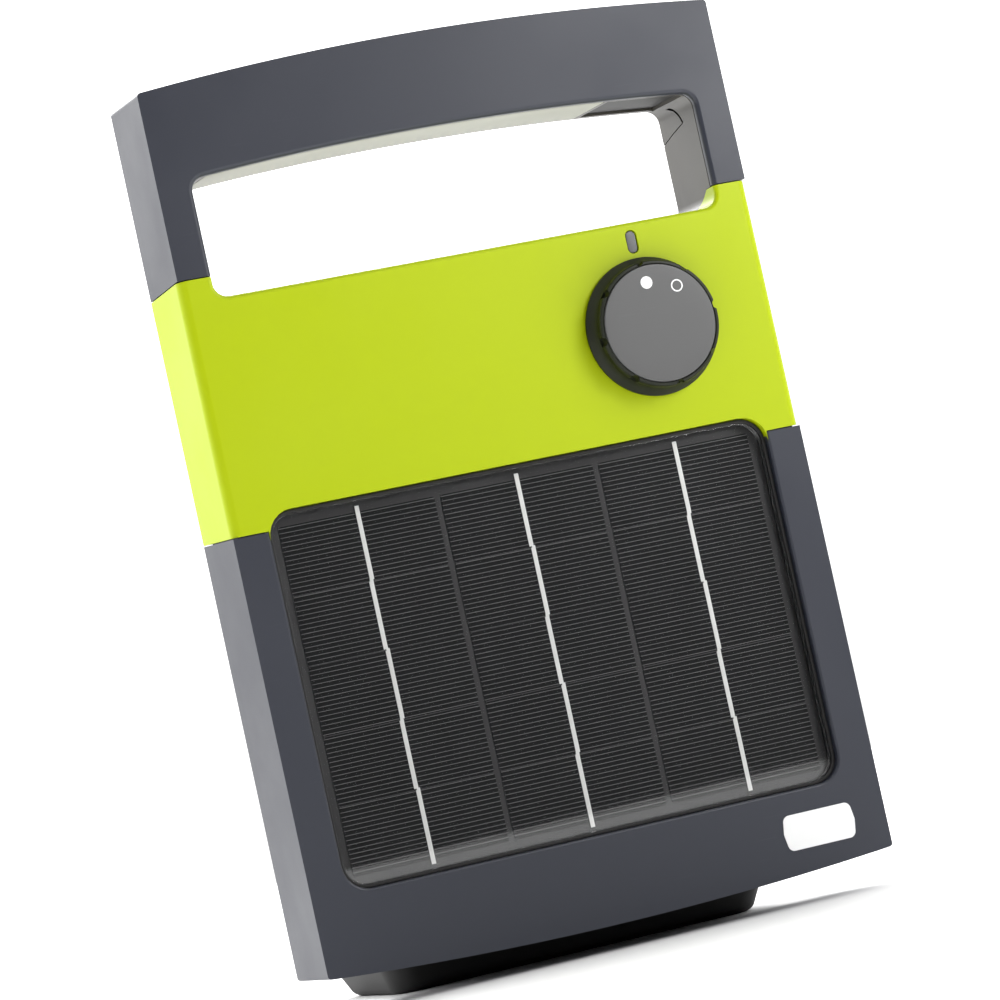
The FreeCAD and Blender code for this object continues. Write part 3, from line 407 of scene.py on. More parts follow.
looks = {
    "charcoal": {"colour": (0.024, 0.027, 0.040), "roughness": 0.42, "grainStrength": 0.08},
    "charcoalInner": {"colour": (0.054, 0.049, 0.041), "roughness": 0.45, "grainStrength": 0.10},
    "lime": {"colour": (0.42, 0.525, 0.0005), "roughness": 0.42, "grainStrength": 0.05, "dust": 0.08, "scuff": 0.03,
             "specular": 0.25, "dustColour": (0.48, 0.58, 0.02)},
    # pale tone: painted light from below on the underside of the handle bar, a lit copy of the warm grey inner plastic
    "litUndersidePaint": {"colour": (0.34, 0.34, 0.29), "roughness": 0.5, "grainStrength": 0.2, "grainScale": 1500.0},
    "blackRubber": {"colour": (0.006, 0.0055, 0.0055), "roughness": 0.62, "grainStrength": 0.2},
    "knobPlastic": {"colour": (0.010, 0.012, 0.006), "roughness": 0.48, "grainStrength": 0.12, "specular": 0.3},
    "capPlastic": {"colour": (0.095, 0.095, 0.095), "roughness": 0.42, "grainStrength": 0.08},
    "printWhite": {"colour": (0.95, 0.95, 0.95), "roughness": 0.5, "grainStrength": 0.03},
    "badgeWhite": {"colour": (0.95, 0.95, 0.95), "roughness": 0.32, "grainStrength": 0.02, "coat": 0.3},
    "smokeLens": {"colour": (0.045, 0.048, 0.052), "roughness": 0.25, "grainStrength": 0.02, "coat": 0.5},
    "backsheet": {"colour": (0.015, 0.015, 0.016), "roughness": 0.55, "grainStrength": 0.05},
    "redPlastic": {"colour": (0.55, 0.015, 0.01), "roughness": 0.30, "grainStrength": 0.05, "coat": 0.2},
    "greenPlastic": {"colour": (0.012, 0.16, 0.035), "roughness": 0.30, "grainStrength": 0.05, "coat": 0.2},
    "zincSteel": {"colour": (0.62, 0.62, 0.60), "roughness": 0.34, "metallic": 1.0, "grainStrength": 0.12},
    "stainless": {"colour": (0.63, 0.62, 0.60), "roughness": 0.26, "metallic": 1.0, "grainStrength": 0.08},
    "brass": {"colour": (0.72, 0.52, 0.22), "roughness": 0.30, "metallic": 1.0, "grainStrength": 0.08},
    "tinned": {"colour": (0.66, 0.66, 0.65), "roughness": 0.45, "metallic": 0.3, "grainStrength": 0.15},
    "boardGreen": {"colour": (0.01, 0.12, 0.04), "roughness": 0.35, "grainStrength": 0.1},
    "laminations": {"colour": (0.10, 0.10, 0.11), "roughness": 0.5, "metallic": 0.6, "grainStrength": 0.3},
    "winding": {"colour": (0.50, 0.24, 0.04), "roughness": 0.45, "grainStrength": 0.3},
    "canSleeve": {"colour": (0.03, 0.04, 0.16), "roughness": 0.3, "grainStrength": 0.05},
    "epoxy": {"colour": (0.018, 0.018, 0.019), "roughness": 0.5, "grainStrength": 0.25},
    "batteryCase": {"colour": (0.03, 0.032, 0.036), "roughness": 0.45, "grainStrength": 0.2},
    "ledResin": {"colour": (0.10, 0.45, 0.12), "roughness": 0.15, "grainStrength": 0.0},
    "leadRed": {"colour": (0.45, 0.012, 0.01), "roughness": 0.42, "grainStrength": 0.05},
    "leadBlack": {"colour": (0.012, 0.012, 0.012), "roughness": 0.42, "grainStrength": 0.05},
    "foam": {"colour": (0.04, 0.04, 0.04), "roughness": 0.9, "grainStrength": 0.6, "grainScale": 900.0},
}
finish = {name: finishedMaterial(name, look) for name, look in looks.items()}


def glassMaterial():
    """Clear cover: a dielectric that lets the light for the cells through its shadow."""
    material = plainMaterial("panelGlass", (1.0, 1.0, 1.0), 0.02)
    tree = material.node_tree
    shader = tree.nodes["Principled BSDF"]
    shader.inputs["Transmission Weight"].default_value = 1.0
    shader.inputs["IOR"].default_value = 1.45
    path = tree.nodes.new("ShaderNodeLightPath")
    clear = tree.nodes.new("ShaderNodeBsdfTransparent")
    mix = tree.nodes.new("ShaderNodeMixShader")
    wire(tree, path.outputs["Is Shadow Ray"], mix.inputs[0])
    wire(tree, shader.outputs["BSDF"], mix.inputs[1])
    wire(tree, clear.outputs["BSDF"], mix.inputs[2])
    wire(tree, mix.outputs["Shader"], tree.nodes["Material Output"].inputs["Surface"])
    return material


cell = {"fingerPitch": 1.45 * mm, "fingerWidth": 0.17 * mm, "silicon": (0.007, 0.0072, 0.008),
        "silver": (0.20, 0.20, 0.20), "roughness": 0.34}


def siliconMaterial():
    """Dark wafer with fine silver fingers across it."""
    material = plainMaterial("silicon", cell["silicon"], cell["roughness"], specular=0.15)
    tree = material.node_tree
    shader = tree.nodes["Principled BSDF"]
    coordinates = tree.nodes.new("ShaderNodeTexCoord")
    split = tree.nodes.new("ShaderNodeSeparateXYZ")
    wire(tree, coordinates.outputs["Object"], split.inputs["Vector"])
    phase = mathNode(tree, "FRACT", mathNode(tree, "DIVIDE", split.outputs["Z"], cell["fingerPitch"]))
    line = mathNode(tree, "LESS_THAN", phase, cell["fingerWidth"] / cell["fingerPitch"])
    cloud = addNode(tree, "ShaderNodeTexNoise", Scale=160.0, Detail=3.0)
    wire(tree, coordinates.outputs["Object"], cloud.inputs["Vector"])
    tone = mathNode(tree, "ADD", mathNode(tree, "MULTIPLY", cloud.outputs["Fac"], 0.5), 0.5)
    shade = addNode(tree, "ShaderNodeMix", {"data_type": "RGBA"})
    shade.inputs[6].default_value = (*cell["silicon"], 1.0)
    shade.inputs[7].default_value = (*cell["silver"], 1.0)
    wire(tree, mathNode(tree, "MULTIPLY", line, tone), shade.inputs[0])
    wire(tree, shade.outputs[2], shader.inputs["Base Color"])
    return material


finish["panelGlass"] = glassMaterial()
finish["silicon"] = siliconMaterial()
print("materials made")


# ---- case ----

def highSeamAt(y):
    return highSeam - case["highFall"] * (y - front) / (flankBack - front)


def lowSeamAt(y):
    return lowSeam + case["lowClimb"] * (y - front) / (flankBack - front)


def tiltSeam(piece, height, shift):
    """Slide the far ends of a seam so that it runs at a slope towards the back."""
    for vertex in piece.data.vertices:
        if near(vertex.co.y, flankBack) and near(vertex.co.z, height):
            vertex.co.z += shift


def onOpening(point):
    inside = abs(point.x) < opening["half"] + 0.1 * mm
    return inside and opening["low"] - 0.1 * mm < point.z < opening["high"] + opening["rise"] + 0.1 * mm


def roundFlanks():
    """Round the long front edges that run up the sides."""
    bevelEdges(lambda a, b: near(a.y, front) and near(b.y, front) and near(abs(a.x), halfWidth)
               and near(abs(b.x), halfWidth), case["flankRound"], 6)


def insideOutline(gap, low=None, high=None):
    """The case's front outline drawn in by the skin, whole or between two straight seams."""
    side = halfWidth - case["skin"] - gap
    if low is None:
        base = caseBox[0][2] + case["bottomDrop"] + case["skin"] + gap
        corners = arch(side, -side, base, -case["bottomDrop"], side, 28)
        corners = [(side, base, 1 * mm)] + corners + [(-side, base, 1 * mm)]
    else:
        corners = [(side, low), (-side, low)]
    if high is None:
        top = handleBox[1][2] - case["topRise"] - case["skin"] - gap
        corners += [(-side, top, 1 * mm)] + arch(-side, side, top, case["topRise"], side, 28)
        corners += [(side, top, 1 * mm)]
    else:
        corners += [(-side, high), (side, high)]
    return outlineFrom(corners)


def seatForBack(piece, depth=2.9 * mm):
    """Open the back inside a rim, where the closing plates sit."""
    cutAway(piece, plate("seat", insideOutline(0), flankBack - depth, flankBack + 2 * mm))


def makeHandleCover():
    seam = highSeam + case["seamGap"] / 2
    sideTop = handleBox[1][2] - case["topRise"]
    half = opening["half"]
    corners = [(-halfWidth, seam), (-halfWidth, sideTop, case["cornerRound"])]
    corners += arch(-halfWidth, halfWidth, sideTop, case["topRise"], halfWidth, 28)
    corners += [(halfWidth, sideTop, case["cornerRound"]), (halfWidth, seam), (half, seam)]
    corners += [(half, opening["high"], opening["round"])]
    corners += arch(half, -half, opening["high"], opening["rise"], half, 18)
    corners += [(-half, opening["high"], opening["round"]), (-half, seam)]
    piece = plate("handleCover", outlineFrom(corners), front, flankBack)
    tiltSeam(piece, seam, -case["highFall"])
    editOn(piece)
    roundFlanks()

    def onTop(p):
        return p.z > sideTop - 1.3 * mm and p.z > sideTop + case["topRise"] * (1 - (p.x / halfWidth) ** 2) - 1.4 * mm
    bevelEdges(lambda a, b: onTop(a) and onTop(b) and a.y < front + 3.3 * mm and b.y < front + 3.3 * mm
               and abs(a.y - b.y) < 2 * mm and (near(a.y, front) or near(b.y, front) or abs(a.x) > halfWidth - 3.2 * mm)
               and not near(a.x, b.x, 0.001 * mm), 0.7 * mm, 3)
    bevelEdges(lambda a, b: near(a.y, front) and near(b.y, front) and onOpening(a) and onOpening(b)
               and abs(a.z - b.z) + abs(a.x - b.x) > 0.01 * mm
               and not (near(a.z, seam) and near(b.z, seam)), opening["edge"], 4)
    bevelEdges(lambda a, b: near(a.z, highSeamAt(a.y) + case["seamGap"] / 2) and near(b.z, highSeamAt(b.y) + case["seamGap"] / 2)
               and (a - b).length > 0.02 * mm, case["seamBevel"], 2)
    editOff()
    seatForBack(piece)
    cutAway(piece, plate("linerPocket", gripOutline(opening["liner"] + 0.15 * mm, opening["low"] - 5 * mm),
                         front + opening["lip"], flankBack + 1 * mm))
    return placePiece(piece, finish["charcoal"], "case", "charcoal_plastic", "handle_cover")


def gripOutline(grow, low, closed=False):
    """The hand opening grown by a margin; it runs straight down to a height, or closes there."""
    half = opening["half"] + grow
    top = opening["high"] + grow
    turn = opening["round"] + grow
    foot = [(-half, low, turn), (half, low, turn)] if closed else [(-half, low), (half, low)]
    corners = [foot[1], (half, top, turn)] + arch(half, -half, top, opening["rise"], half, 18)
    corners += [(-half, top, turn), foot[0]]
    return outlineFrom(corners)


def flangeSection(margin):
    """What lies behind and above the green return in the opening, seen from the side."""
    slope = opening["low"] + 1.8 * mm
    start = front + opening["flangeRun"]
    stop = front + opening["ledge"]
    return [(start - margin, highSeam + 8 * mm), (start - margin, highSeamAt(start)), (stop - margin, slope),
            (stop - margin, opening["low"] - 7 * mm), (flankBack + 1 * mm, opening["low"] - 7 * mm),
            (flankBack + 1 * mm, highSeam + 8 * mm)]


def makeMidCover():
    top = highSeam - case["seamGap"] / 2
    bottom = lowSeam + case["seamGap"] / 2
    half = opening["half"]
    notch = panelHalf + 0.15 * mm
    notchTop = panelHigh + 0.15 * mm
    corners = [(-halfWidth, bottom), (-halfWidth, top), (-half, top), (-half, opening["low"], opening["round"]),
               (half, opening["low"], opening["round"]), (half, top), (halfWidth, top), (halfWidth, bottom),
               (notch, bottom), (notch, notchTop, panelRound), (-notch, notchTop, panelRound), (-notch, bottom)]
    piece = plate("midCover", outlineFrom(corners), front, flankBack)
    tiltSeam(piece, top, -case["highFall"])
    tiltSeam(piece, bottom, case["lowClimb"])
    reach = half + opening["liner"] + 0.15 * mm
    cutAway(piece, plate("flangeCut", flangeSection(0.12 * mm), -reach, reach, "X"))
    editOn(piece)
    roundFlanks()
    bevelEdges(lambda a, b: near(a.y, front) and near(b.y, front) and onOpening(a) and onOpening(b)
               and not (near(a.z, top) and near(b.z, top)), opening["edge"], 4)
    bevelEdges(lambda a, b: near(a.y, front) and near(b.y, front) and max(abs(a.x), abs(b.x)) < notch + 0.1 * mm
               and max(a.z, b.z) < notchTop + 0.1 * mm, 0.6 * mm, 3)
    bevelEdges(lambda a, b: (a - b).length > 0.02 * mm and
               (near(a.z, highSeamAt(a.y) - case["seamGap"] / 2) and near(b.z, highSeamAt(b.y) - case["seamGap"] / 2)
                or near(a.z, lowSeamAt(a.y) + case["seamGap"] / 2) and near(b.z, lowSeamAt(b.y) + case["seamGap"] / 2)),
               case["seamBevel"], 2)
    editOff()
    seatForBack(piece)
    low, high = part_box("indicator_lens")
    slot = plate("lensSlot", roundedBox(low[0] - 0.1 * mm, high[0] + 0.1 * mm, low[2] - 0.1 * mm, high[2] + 0.1 * mm,
                                        (high[0] - low[0]) / 2), front - 1 * mm, front + 2 * mm)
    cutAway(piece, slot)
    editOn(piece)
    bevelEdges(lambda a, b: near(a.y, front) and near(b.y, front) and low[0] - 0.3 * mm < a.x < high[0] + 0.3 * mm
               and low[0] - 0.3 * mm < b.x < high[0] + 0.3 * mm and low[2] - 0.3 * mm < min(a.z, b.z)
               and max(a.z, b.z) < high[2] + 0.3 * mm, 0.25 * mm, 2)
    editOff()
    return placePiece(piece, finish["lime"], "case", "lime_plastic", "mid_cover")


def makeLowerCase():
    seam = lowSeam - case["seamGap"] / 2
    sideLow = caseBox[0][2] + case["bottomDrop"]
    corners = [(-halfWidth, seam), (-panelHalf, seam), (-panelHalf, panelLow, panelRound),
               (panelHalf, panelLow, panelRound), (panelHalf, seam), (halfWidth, seam),
               (halfWidth, sideLow, case["cornerRound"])]
    corners += arch(halfWidth, -halfWidth, sideLow, -case["bottomDrop"], halfWidth, 28)
    corners += [(-halfWidth, sideLow, case["cornerRound"])]
    piece = plate("lowerCase", outlineFrom(corners), front, flankBack)
    tiltSeam(piece, seam, case["lowClimb"])
    editOn(piece)
    roundFlanks()

    def onBase(p):
        return p.z < sideLow + 1.3 * mm
    bevelEdges(lambda a, b: onBase(a) and onBase(b) and near(a.y, front) and near(b.y, front)
               and not near(a.x, b.x, 0.001 * mm), 0.7 * mm, 3)
    bevelEdges(lambda a, b: near(a.y, front) and near(b.y, front) and max(abs(a.x), abs(b.x)) < panelHalf + 0.1 * mm
               and min(a.z, b.z) > panelLow - 0.1 * mm, 0.9 * mm, 3)
    bevelEdges(lambda a, b: (a - b).length > 0.02 * mm and near(a.z, lowSeamAt(a.y) - case["seamGap"] / 2)
               and near(b.z, lowSeamAt(b.y) - case["seamGap"] / 2), case["seamBevel"], 2)
    editOff()
    seatForBack(piece)
    return placePiece(piece, finish["charcoal"], "case", "charcoal_plastic", "lower_case")


def makeTongues():
    start = front + 1.5 * mm
    stop = flankBack - 3.5 * mm
    for seamAt, inner, node in ((highSeamAt, opening["half"] + 2.4 * mm, "handle_cover"),
                                (lowSeamAt, panelHalf + 1.0 * mm, "lower_case")):
        strip = [(start, seamAt(start) - 0.8 * mm), (stop, seamAt(stop) - 0.8 * mm),
                 (stop, seamAt(stop) + 0.8 * mm), (start, seamAt(start) + 0.8 * mm)]
        for sign in (-1, 1):
            near1, far1 = sorted((sign * inner, sign * (halfWidth - 2.0 * mm)))
            placePiece(plate("seamTongue", strip, near1, far1, "X"), finish["charcoal"], "case",
                       "charcoal_plastic", node)


makeHandleCover()
makeMidCover()
makeLowerCase()
makeTongues()
print("front covers made")


# ---- inside the hand opening ----

# shadeLeft and shadeRight bound the dark strip painted as shade in the corner under the handle bar.
grip = {"padLeft": 80 * mm, "padRight": 56 * mm, "padProud": 0.12 * mm, "padThick": 1.3 * mm,
        "padFront": 3.3 * mm, "padBack": 31.5 * mm, "shadeLeft": 57.5 * mm, "shadeRight": 83.2 * mm}
tab = {"thick": [(-11.2, 263.9), (-20.6, 261.9), (-25.9, 260.1), (-29.1, 257.5), (-31.0, 254.8)],
       "thin": [(-31.0, 254.8), (-21.5, 253.0), (-11.2, 250.6)], "thickWide": 0.95 * mm, "thinWide": 0.35 * mm,
       "deep": 0.55 * mm}


def archAt(x):
    return opening["high"] + opening["rise"] * (1 - (x / opening["half"]) ** 2)


def archBand(fromX, toX, low, high, steps):
    xs = [fromX + (toX - fromX) * i / steps for i in range(steps + 1)]
    return [(x, archAt(x) + low) for x in xs] + [(x, archAt(x) + high) for x in reversed(xs)]


def strokeOutline(route, width):
    """A thin closed outline that follows a route on a side wall."""
    points = [Vector(p) * mm for p in route]
    left = []
    right = []
    for i, point in enumerate(points):
        along = (points[min(i + 1, len(points) - 1)] - points[max(i - 1, 0)]).normalized()
        across = Vector((-along.y, along.x)) * width / 2
        left.append(tuple(point + across))
        right.append(tuple(point - across))
    return left + right[::-1]


def makeGripLiner():
    outer = plate("gripLiner", gripOutline(opening["liner"], opening["low"] - opening["liner"], True),
                  front + opening["lip"] + 0.5 * mm, flankBack - 0.05 * mm)
    cutAway(outer, plate("gripHole", gripOutline(0, opening["low"], True), front, flankBack + 1 * mm))
    section = flangeSection(0)
    keepOut = [(front - 1 * mm, highSeam)] + [(section[1][0], section[1][1])] + [section[2], section[3]]
    keepOut += [(front - 1 * mm, section[3][1])]
    cutAway(outer, plate("greenSide", keepOut, -halfWidth, halfWidth, "X"))
    half = opening["half"]
    for sign in (-1, 1):
        low, high = sorted((sign * (half - 1 * mm), sign * (half + tab["deep"])))
        cutAway(outer, plate("seam", strokeOutline(tab["thick"], tab["thickWide"]), low, high, "X"),
                plate("seam", strokeOutline(tab["thin"], tab["thinWide"]), low, high, "X"))
    # The end pocket is a recess cut only to seat the dark strip painted as shade in the corner under the bar.
    cutAway(outer, plate("padSeat", archBand(-grip["padLeft"] - 0.2 * mm, grip["padRight"] + 0.2 * mm, -1 * mm, 3 * mm, 24),
                         front, flankBack - 1.2 * mm),
            plate("endShadePocket", archBand(grip["shadeLeft"], grip["shadeRight"], -1 * mm, 0.9 * mm, 8),
                  front + 4.0 * mm, flankBack - 3 * mm))
    placePiece(outer, finish["charcoalInner"], "case", "charcoal_plastic", "handle_back")
    # Black strips laid on the floor of the thick tab seam groove are painted shadow in the gap; they carry the black
    # rubber finish.
    for sign in (-1, 1):
        low, high = sorted((sign * (half + tab["deep"] - 0.05 * mm), sign * (half + tab["deep"] + 0.5 * mm)))
        seamShadow = plate(f"tabSeamShadow{'L' if sign < 0 else 'R'}", strokeOutline(tab["thick"], tab["thickWide"]), low, high, "X")
        placePiece(seamShadow, finish["blackRubber"], "case", "black_rubber", "handle_back")


def makeGripPad():
    # The pad's pale colour is painted light: the bar's underside lit from below, drawn lighter than the inner plastic.
    piece = plate("gripPad", archBand(-grip["padLeft"], grip["padRight"], -grip["padProud"], grip["padThick"], 30),
                  front + grip["padFront"], front + grip["padBack"])
    editOn(piece)
    bevelEdges(lambda a, b: a.z < archAt(a.x) and b.z < archAt(b.x) and (near(a.y, b.y) or near(a.x, b.x)
               and abs(abs(a.x) - 68 * mm) > 11 * mm), 0.3 * mm, 2)
    editOff()
    placePiece(piece, finish["litUndersidePaint"], "case", "pale_grip", "grip_pad")
    # The dark strip in the pocket at the right end of the bar's underside is painted shade for that corner; it carries
    # the black rubber finish.
    end = plate("gripEndShade", archBand(grip["shadeLeft"] - 0.5 * mm, grip["shadeRight"] + 0.5 * mm, 0.85 * mm, 1.35 * mm, 8),
                front + 3.6 * mm, flankBack - 2.6 * mm)
    placePiece(end, finish["blackRubber"], "case", "black_rubber", "handle_cover")


def makeHandleBack():
    """The plate that closes the handle from behind, a ring round the hand opening."""
    low = opening["low"] - case["skin"] + 0.15 * mm
    piece = plate("handleBack", insideOutline(0.25 * mm, low=low), flankBack - case["skin"], flankBack - 0.1 * mm)
    editOn(piece)
    bevelEdges(lambda a, b: near(a.y, flankBack - 0.1 * mm) and near(b.y, flankBack - 0.1 * mm), 0.35 * mm, 2)
    editOff()
    cutAway(piece, plate("ringHole", gripOutline(opening["liner"] + 0.2 * mm, opening["low"] - opening["liner"] - 0.2 * mm, True),
                         front, flankBack + 1 * mm))
    placePiece(piece, finish["charcoal"], "case", "charcoal_plastic", "handle_back")


makeGripLiner()
makeGripPad()
makeHandleBack()
print("hand opening made")


# ---- solar panel ----

panel = {"glassDepth": 3.0 * mm, "glassThick": 3.0 * mm, "rim": 1.2 * mm, "fieldHalf": 79.65 * mm,
         "columnStep": 54.3 * mm, "cellWide": 52.2 * mm, "rowStep": 22.2 * mm, "cellTall": 21.85 * mm,
         "fieldLow": 40.8 * mm, "ribbonWide": 1.4 * mm, "ribbonOver": 1.8 * mm, "ribbonShift": 0.22 * mm,
         "firstRibbon": -54.2 * mm, "cellDepth": 6.4 * mm}


def panelOutline(shrink, low=0.0, high=0.0):
    edge = panelHalf - shrink
    return roundedBox(-edge, edge, panelLow + shrink, panelHigh - shrink, panelRound - shrink)


def makePanel():
    ring = plate("panelGasket", panelOutline(0.05 * mm), front + 2.2 * mm, front + 8.4 * mm)
    cutAway(ring, plate("gasketHole", panelOutline(panel["rim"]), front, front + 20 * mm))
    editOn(ring)
    bevelEdges(lambda a, b: near(a.y, front + 2.2 * mm) and near(b.y, front + 2.2 * mm), 0.35 * mm, 2)
    editOff()
    placePiece(ring, finish["blackRubber"], "case", "black_rubber", "panel_gasket")
    start = front + panel["glassDepth"]
    glass = plate("panelGlass", panelOutline(panel["rim"] + 0.05 * mm), start, start + panel["glassThick"])
    editOn(glass)
    bevelEdges(lambda a, b: near(a.y, start) and near(b.y, start), 0.3 * mm, 2)
    editOff()
    placePiece(glass, finish["panelGlass"], "case", "panel_glass", "panel_glass")
    behind = front + panel["cellDepth"]
    sheet = plate("panelSheet", panelOutline(panel["rim"] + 0.05 * mm), behind + 0.35 * mm, behind + 1.6 * mm)
    placePiece(sheet, finish["backsheet"], "case", "backsheet", "panel_backsheet")
    firstX = -panel["columnStep"] - panel["cellWide"] / 2
    cell = block("solarCells", (firstX, behind, panel["fieldLow"]),
                 (firstX + panel["cellWide"], behind + 0.3 * mm, panel["fieldLow"] + panel["cellTall"]))
    editOn(cell)
    bevelEdges(lambda a, b: near(a.x, b.x) and near(a.z, b.z), 0.5 * mm, 1)
    editOff()
    modify(cell, "ARRAY", count=3, use_relative_offset=False, use_constant_offset=True,
           constant_offset_displace=(panel["columnStep"], 0, 0))
    modify(cell, "ARRAY", count=5, use_relative_offset=False, use_constant_offset=True,
           constant_offset_displace=(0, 0, panel["rowStep"]))
    placePiece(cell, finish["silicon"], "case", "silicon", "solar_cells")
    strips = []
    for column in range(3):
        for row in range(5):
            x = panel["firstRibbon"] + column * (panel["columnStep"] + 0.25 * mm)
            x += panel["ribbonShift"] * (-1) ** (row + column)
            low = panel["fieldLow"] + row * panel["rowStep"] + 0.25 * mm
            high = low + panel["rowStep"] - 0.5 * mm
            if row == 0:
                low -= panel["ribbonOver"]
            if row == 4:
                high += panel["ribbonOver"]
            strips.append(block("ribbon", (x - panel["ribbonWide"] / 2, behind - 0.18 * mm, low),
                                (x + panel["ribbonWide"] / 2, behind - 0.02 * mm, high)))
            if row < 4:
                strips.append(block("ribbon", (x - 0.35 * mm, behind - 0.14 * mm, high - 0.2 * mm),
                                    (x + 0.75 * mm, behind - 0.03 * mm, high + 0.7 * mm)))
    ribbons = joined("cellRibbons", strips)
    placePiece(ribbons, finish["tinned"], "case", "ribbon_tin", "cell_ribbons")


makePanel()
print("panel made")


# ---- power knob and indicator ----

knob = {"x": 53.6 * mm, "z": 190.55 * mm, "proud": 9.15 * mm, "capRadius": 18.75 * mm, "notches": 8,
        "notchRadius": 1.5 * mm, "notchPhase": 7.5, "markRadius": 2.0 * mm, "markOrbit": 13.5 * mm,
        "markLine": 0.42 * mm, "onTurn": 7.5, "offTurn": -37.5}
knobProfile = [(11, 0.5), (22.0, 0.5), (22.4, 0.9), (22.35, 1.7), (21.5, 2.6), (20.5, 3.9), (20.0, 5.0), (19.95, 6.0),
               (20.35, 7.0), (20.45, 7.7), (20.3, 8.3), (19.9, 8.75), (19.35, 8.85), (19.1, 8.7), (19.05, 7.0), (11, 7.0)]


def knobPoint(turn, orbit):
    angle = math.radians(turn)
    return knob["x"] - orbit * math.sin(angle), knob["z"] + orbit * math.cos(angle)


def makeKnob():
    grip = lathe("knobGrip", [(r * mm, h * mm) for r, h in knobProfile], (knob["x"], front, knob["z"]), -1, 96, True)
    tools = []
    for i in range(knob["notches"]):
        x, z = knobPoint(knob["notchPhase"] + 360 / knob["notches"] * i, 20.6 * mm)
        tool = rod("notch", (x, front - 9.4 * mm, z), knob["notchRadius"], 9.0 * mm, vertices=24)
        tools.append(tool)
    cutAway(grip, joined("notches", tools))
    placePiece(grip, finish["knobPlastic"], "power_knob", "knob_plastic", "knob_grip", angle=28)
    face = [(18.9, 7.1), (18.9, 8.7), (18.75, 9.0), (18.4, 9.12), (14, 9.15)]
    cap = lathe("knobCap", [(r * mm, h * mm) for r, h in face], (knob["x"], front, knob["z"]), -1, 96)
    placePiece(cap, finish["capPlastic"], "power_knob", "cap_plastic", "knob_cap")
    x, z = knobPoint(knob["onTurn"], knob["markOrbit"])
    dot = rod("markOn", (x, front - 9.15 * mm, z), knob["markRadius"], 0.07 * mm, vertices=40)
    x, z = knobPoint(knob["offTurn"], knob["markOrbit"])
    loop = rod("markOff", (x, front - 9.15 * mm, z), knob["markRadius"], 0.07 * mm, vertices=40)
    cutAway(loop, rod("markHole", (x, front - 9.15 * mm, z), knob["markRadius"] - knob["markLine"], 2 * mm, vertices=40))
    placePiece(joined("knobMarks", [dot, loop]), finish["printWhite"], "power_knob", "mark_white", "knob_marks")


def makeLens():
    low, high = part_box("indicator_lens")
    lens = plate("indicatorLens", roundedBox(low[0], high[0], low[2], high[2], (high[0] - low[0]) / 2 - 0.02 * mm),
                 front + 0.55 * mm, front + 5.5 * mm)
    editOn(lens)
    bevelEdges(lambda a, b: near(a.y, front + 0.55 * mm) and near(b.y, front + 0.55 * mm), 0.8 * mm, 3)
    editOff()
    placePiece(lens, finish["smokeLens"], "case", "smoke_lens", "indicator_lens")


def makeBadge():
    low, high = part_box("badge_plate")
    bow = 0.9 * mm
    middle = (low[2] + high[2]) / 2
    corners = [(low[0] + bow, low[2], 2.2 * mm), (high[0] - bow, low[2], 2.2 * mm), (high[0], middle),
               (high[0] - bow, high[2], 2.2 * mm), (low[0] + bow, high[2], 2.2 * mm), (low[0], middle)]
    badge = plate("badge", outlineFrom(corners), front - 0.18 * mm, front + 0.4 * mm)
    editOn(badge)
    bevelEdges(lambda a, b: near(a.y, front - 0.18 * mm) and near(b.y, front - 0.18 * mm), 0.12 * mm, 2)
    editOff()
    placePiece(badge, finish["badgeWhite"], "case", "white_plastic", "badge_plate")


makeKnob()
makeLens()
makeBadge()
print("knob, lens and badge made")


# ---- rear, base and terminals ----

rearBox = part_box("rear_shell")
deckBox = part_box("terminal_shell")
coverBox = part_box("battery_cover")
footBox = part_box("base_foot")
rear = {"edge": 1.2 * mm, "ribs": 5, "coverRound": 5.0 * mm,
        "hangX": 40 * mm, "hangZ": 138 * mm, "hole": 4.6 * mm, "slot": 2.3 * mm, "climb": 9 * mm}


def screwHead(name, centre, radius, height, outward=(0, 1, 0)):
    """A pan head with a cross recess; it stands on its centre point and faces outwards."""
    head = lathe(name, [(radius, 0), (radius, 0.45 * height), (0.86 * radius, 0.82 * height), (0.5 * radius, height)],
                 (0, 0, 0), 1, 28)
    arm = 0.55 * radius
    thin = 0.13 * radius
    deep = 0.45 * height
    cutAway(head, block("slotA", (-arm, deep, -thin), (arm, height * 2, thin)),
            block("slotB", (-thin, deep * 1.01, -arm), (thin, height * 2, arm)))
    turn = Vector((0, 1, 0)).rotation_difference(Vector(outward)).to_matrix().to_4x4()
    head.data.transform(Matrix.Translation(centre) @ turn)
    return head


def solidsOf(node):
    """Centres and sizes of the separate solids that a node holds."""
    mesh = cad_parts[node].data
    cage = bmesh.new()
    cage.from_mesh(mesh)
    bmesh.ops.remove_doubles(cage, verts=cage.verts, dist=0.001 * mm)
    left = set(cage.verts)
    boxes = []
    while left:
        stack = [left.pop()]
        found = []
        while stack:
            vertex = stack.pop()
            found.append(vertex.co.copy())
            for edge in vertex.link_edges:
                other = edge.other_vert(vertex)
                if other in left:
                    left.discard(other)
                    stack.append(other)
        low = Vector([min(p[i] for p in found) for i in range(3)])
        high = Vector([max(p[i] for p in found) for i in range(3)])
        boxes.append((low, high))
    cage.free()
    return boxes


def makeScrews():
    for name, node, outward in (("caseScrews", "case_screws", (0, 1, 0)), ("coverScrews", "cover_screws", (0, 1, 0)),
                                ("footScrews", "foot_screws", (0, 0, -1))):
        heads = []
        for low, high in solidsOf(node):
            middle = (low + high) / 2
            radius = (high.x - low.x) / 2
            if outward[1] > 0:
                place = (middle.x, high.y - 2.3 * mm, middle.z)
            else:
                place = (middle.x, middle.y, low.z + 2.3 * mm)
            heads.append(screwHead("head", place, radius, 2.25 * mm, outward))
        placePiece(joined(name, heads), finish["zincSteel"], "case", "zinc_steel", node)


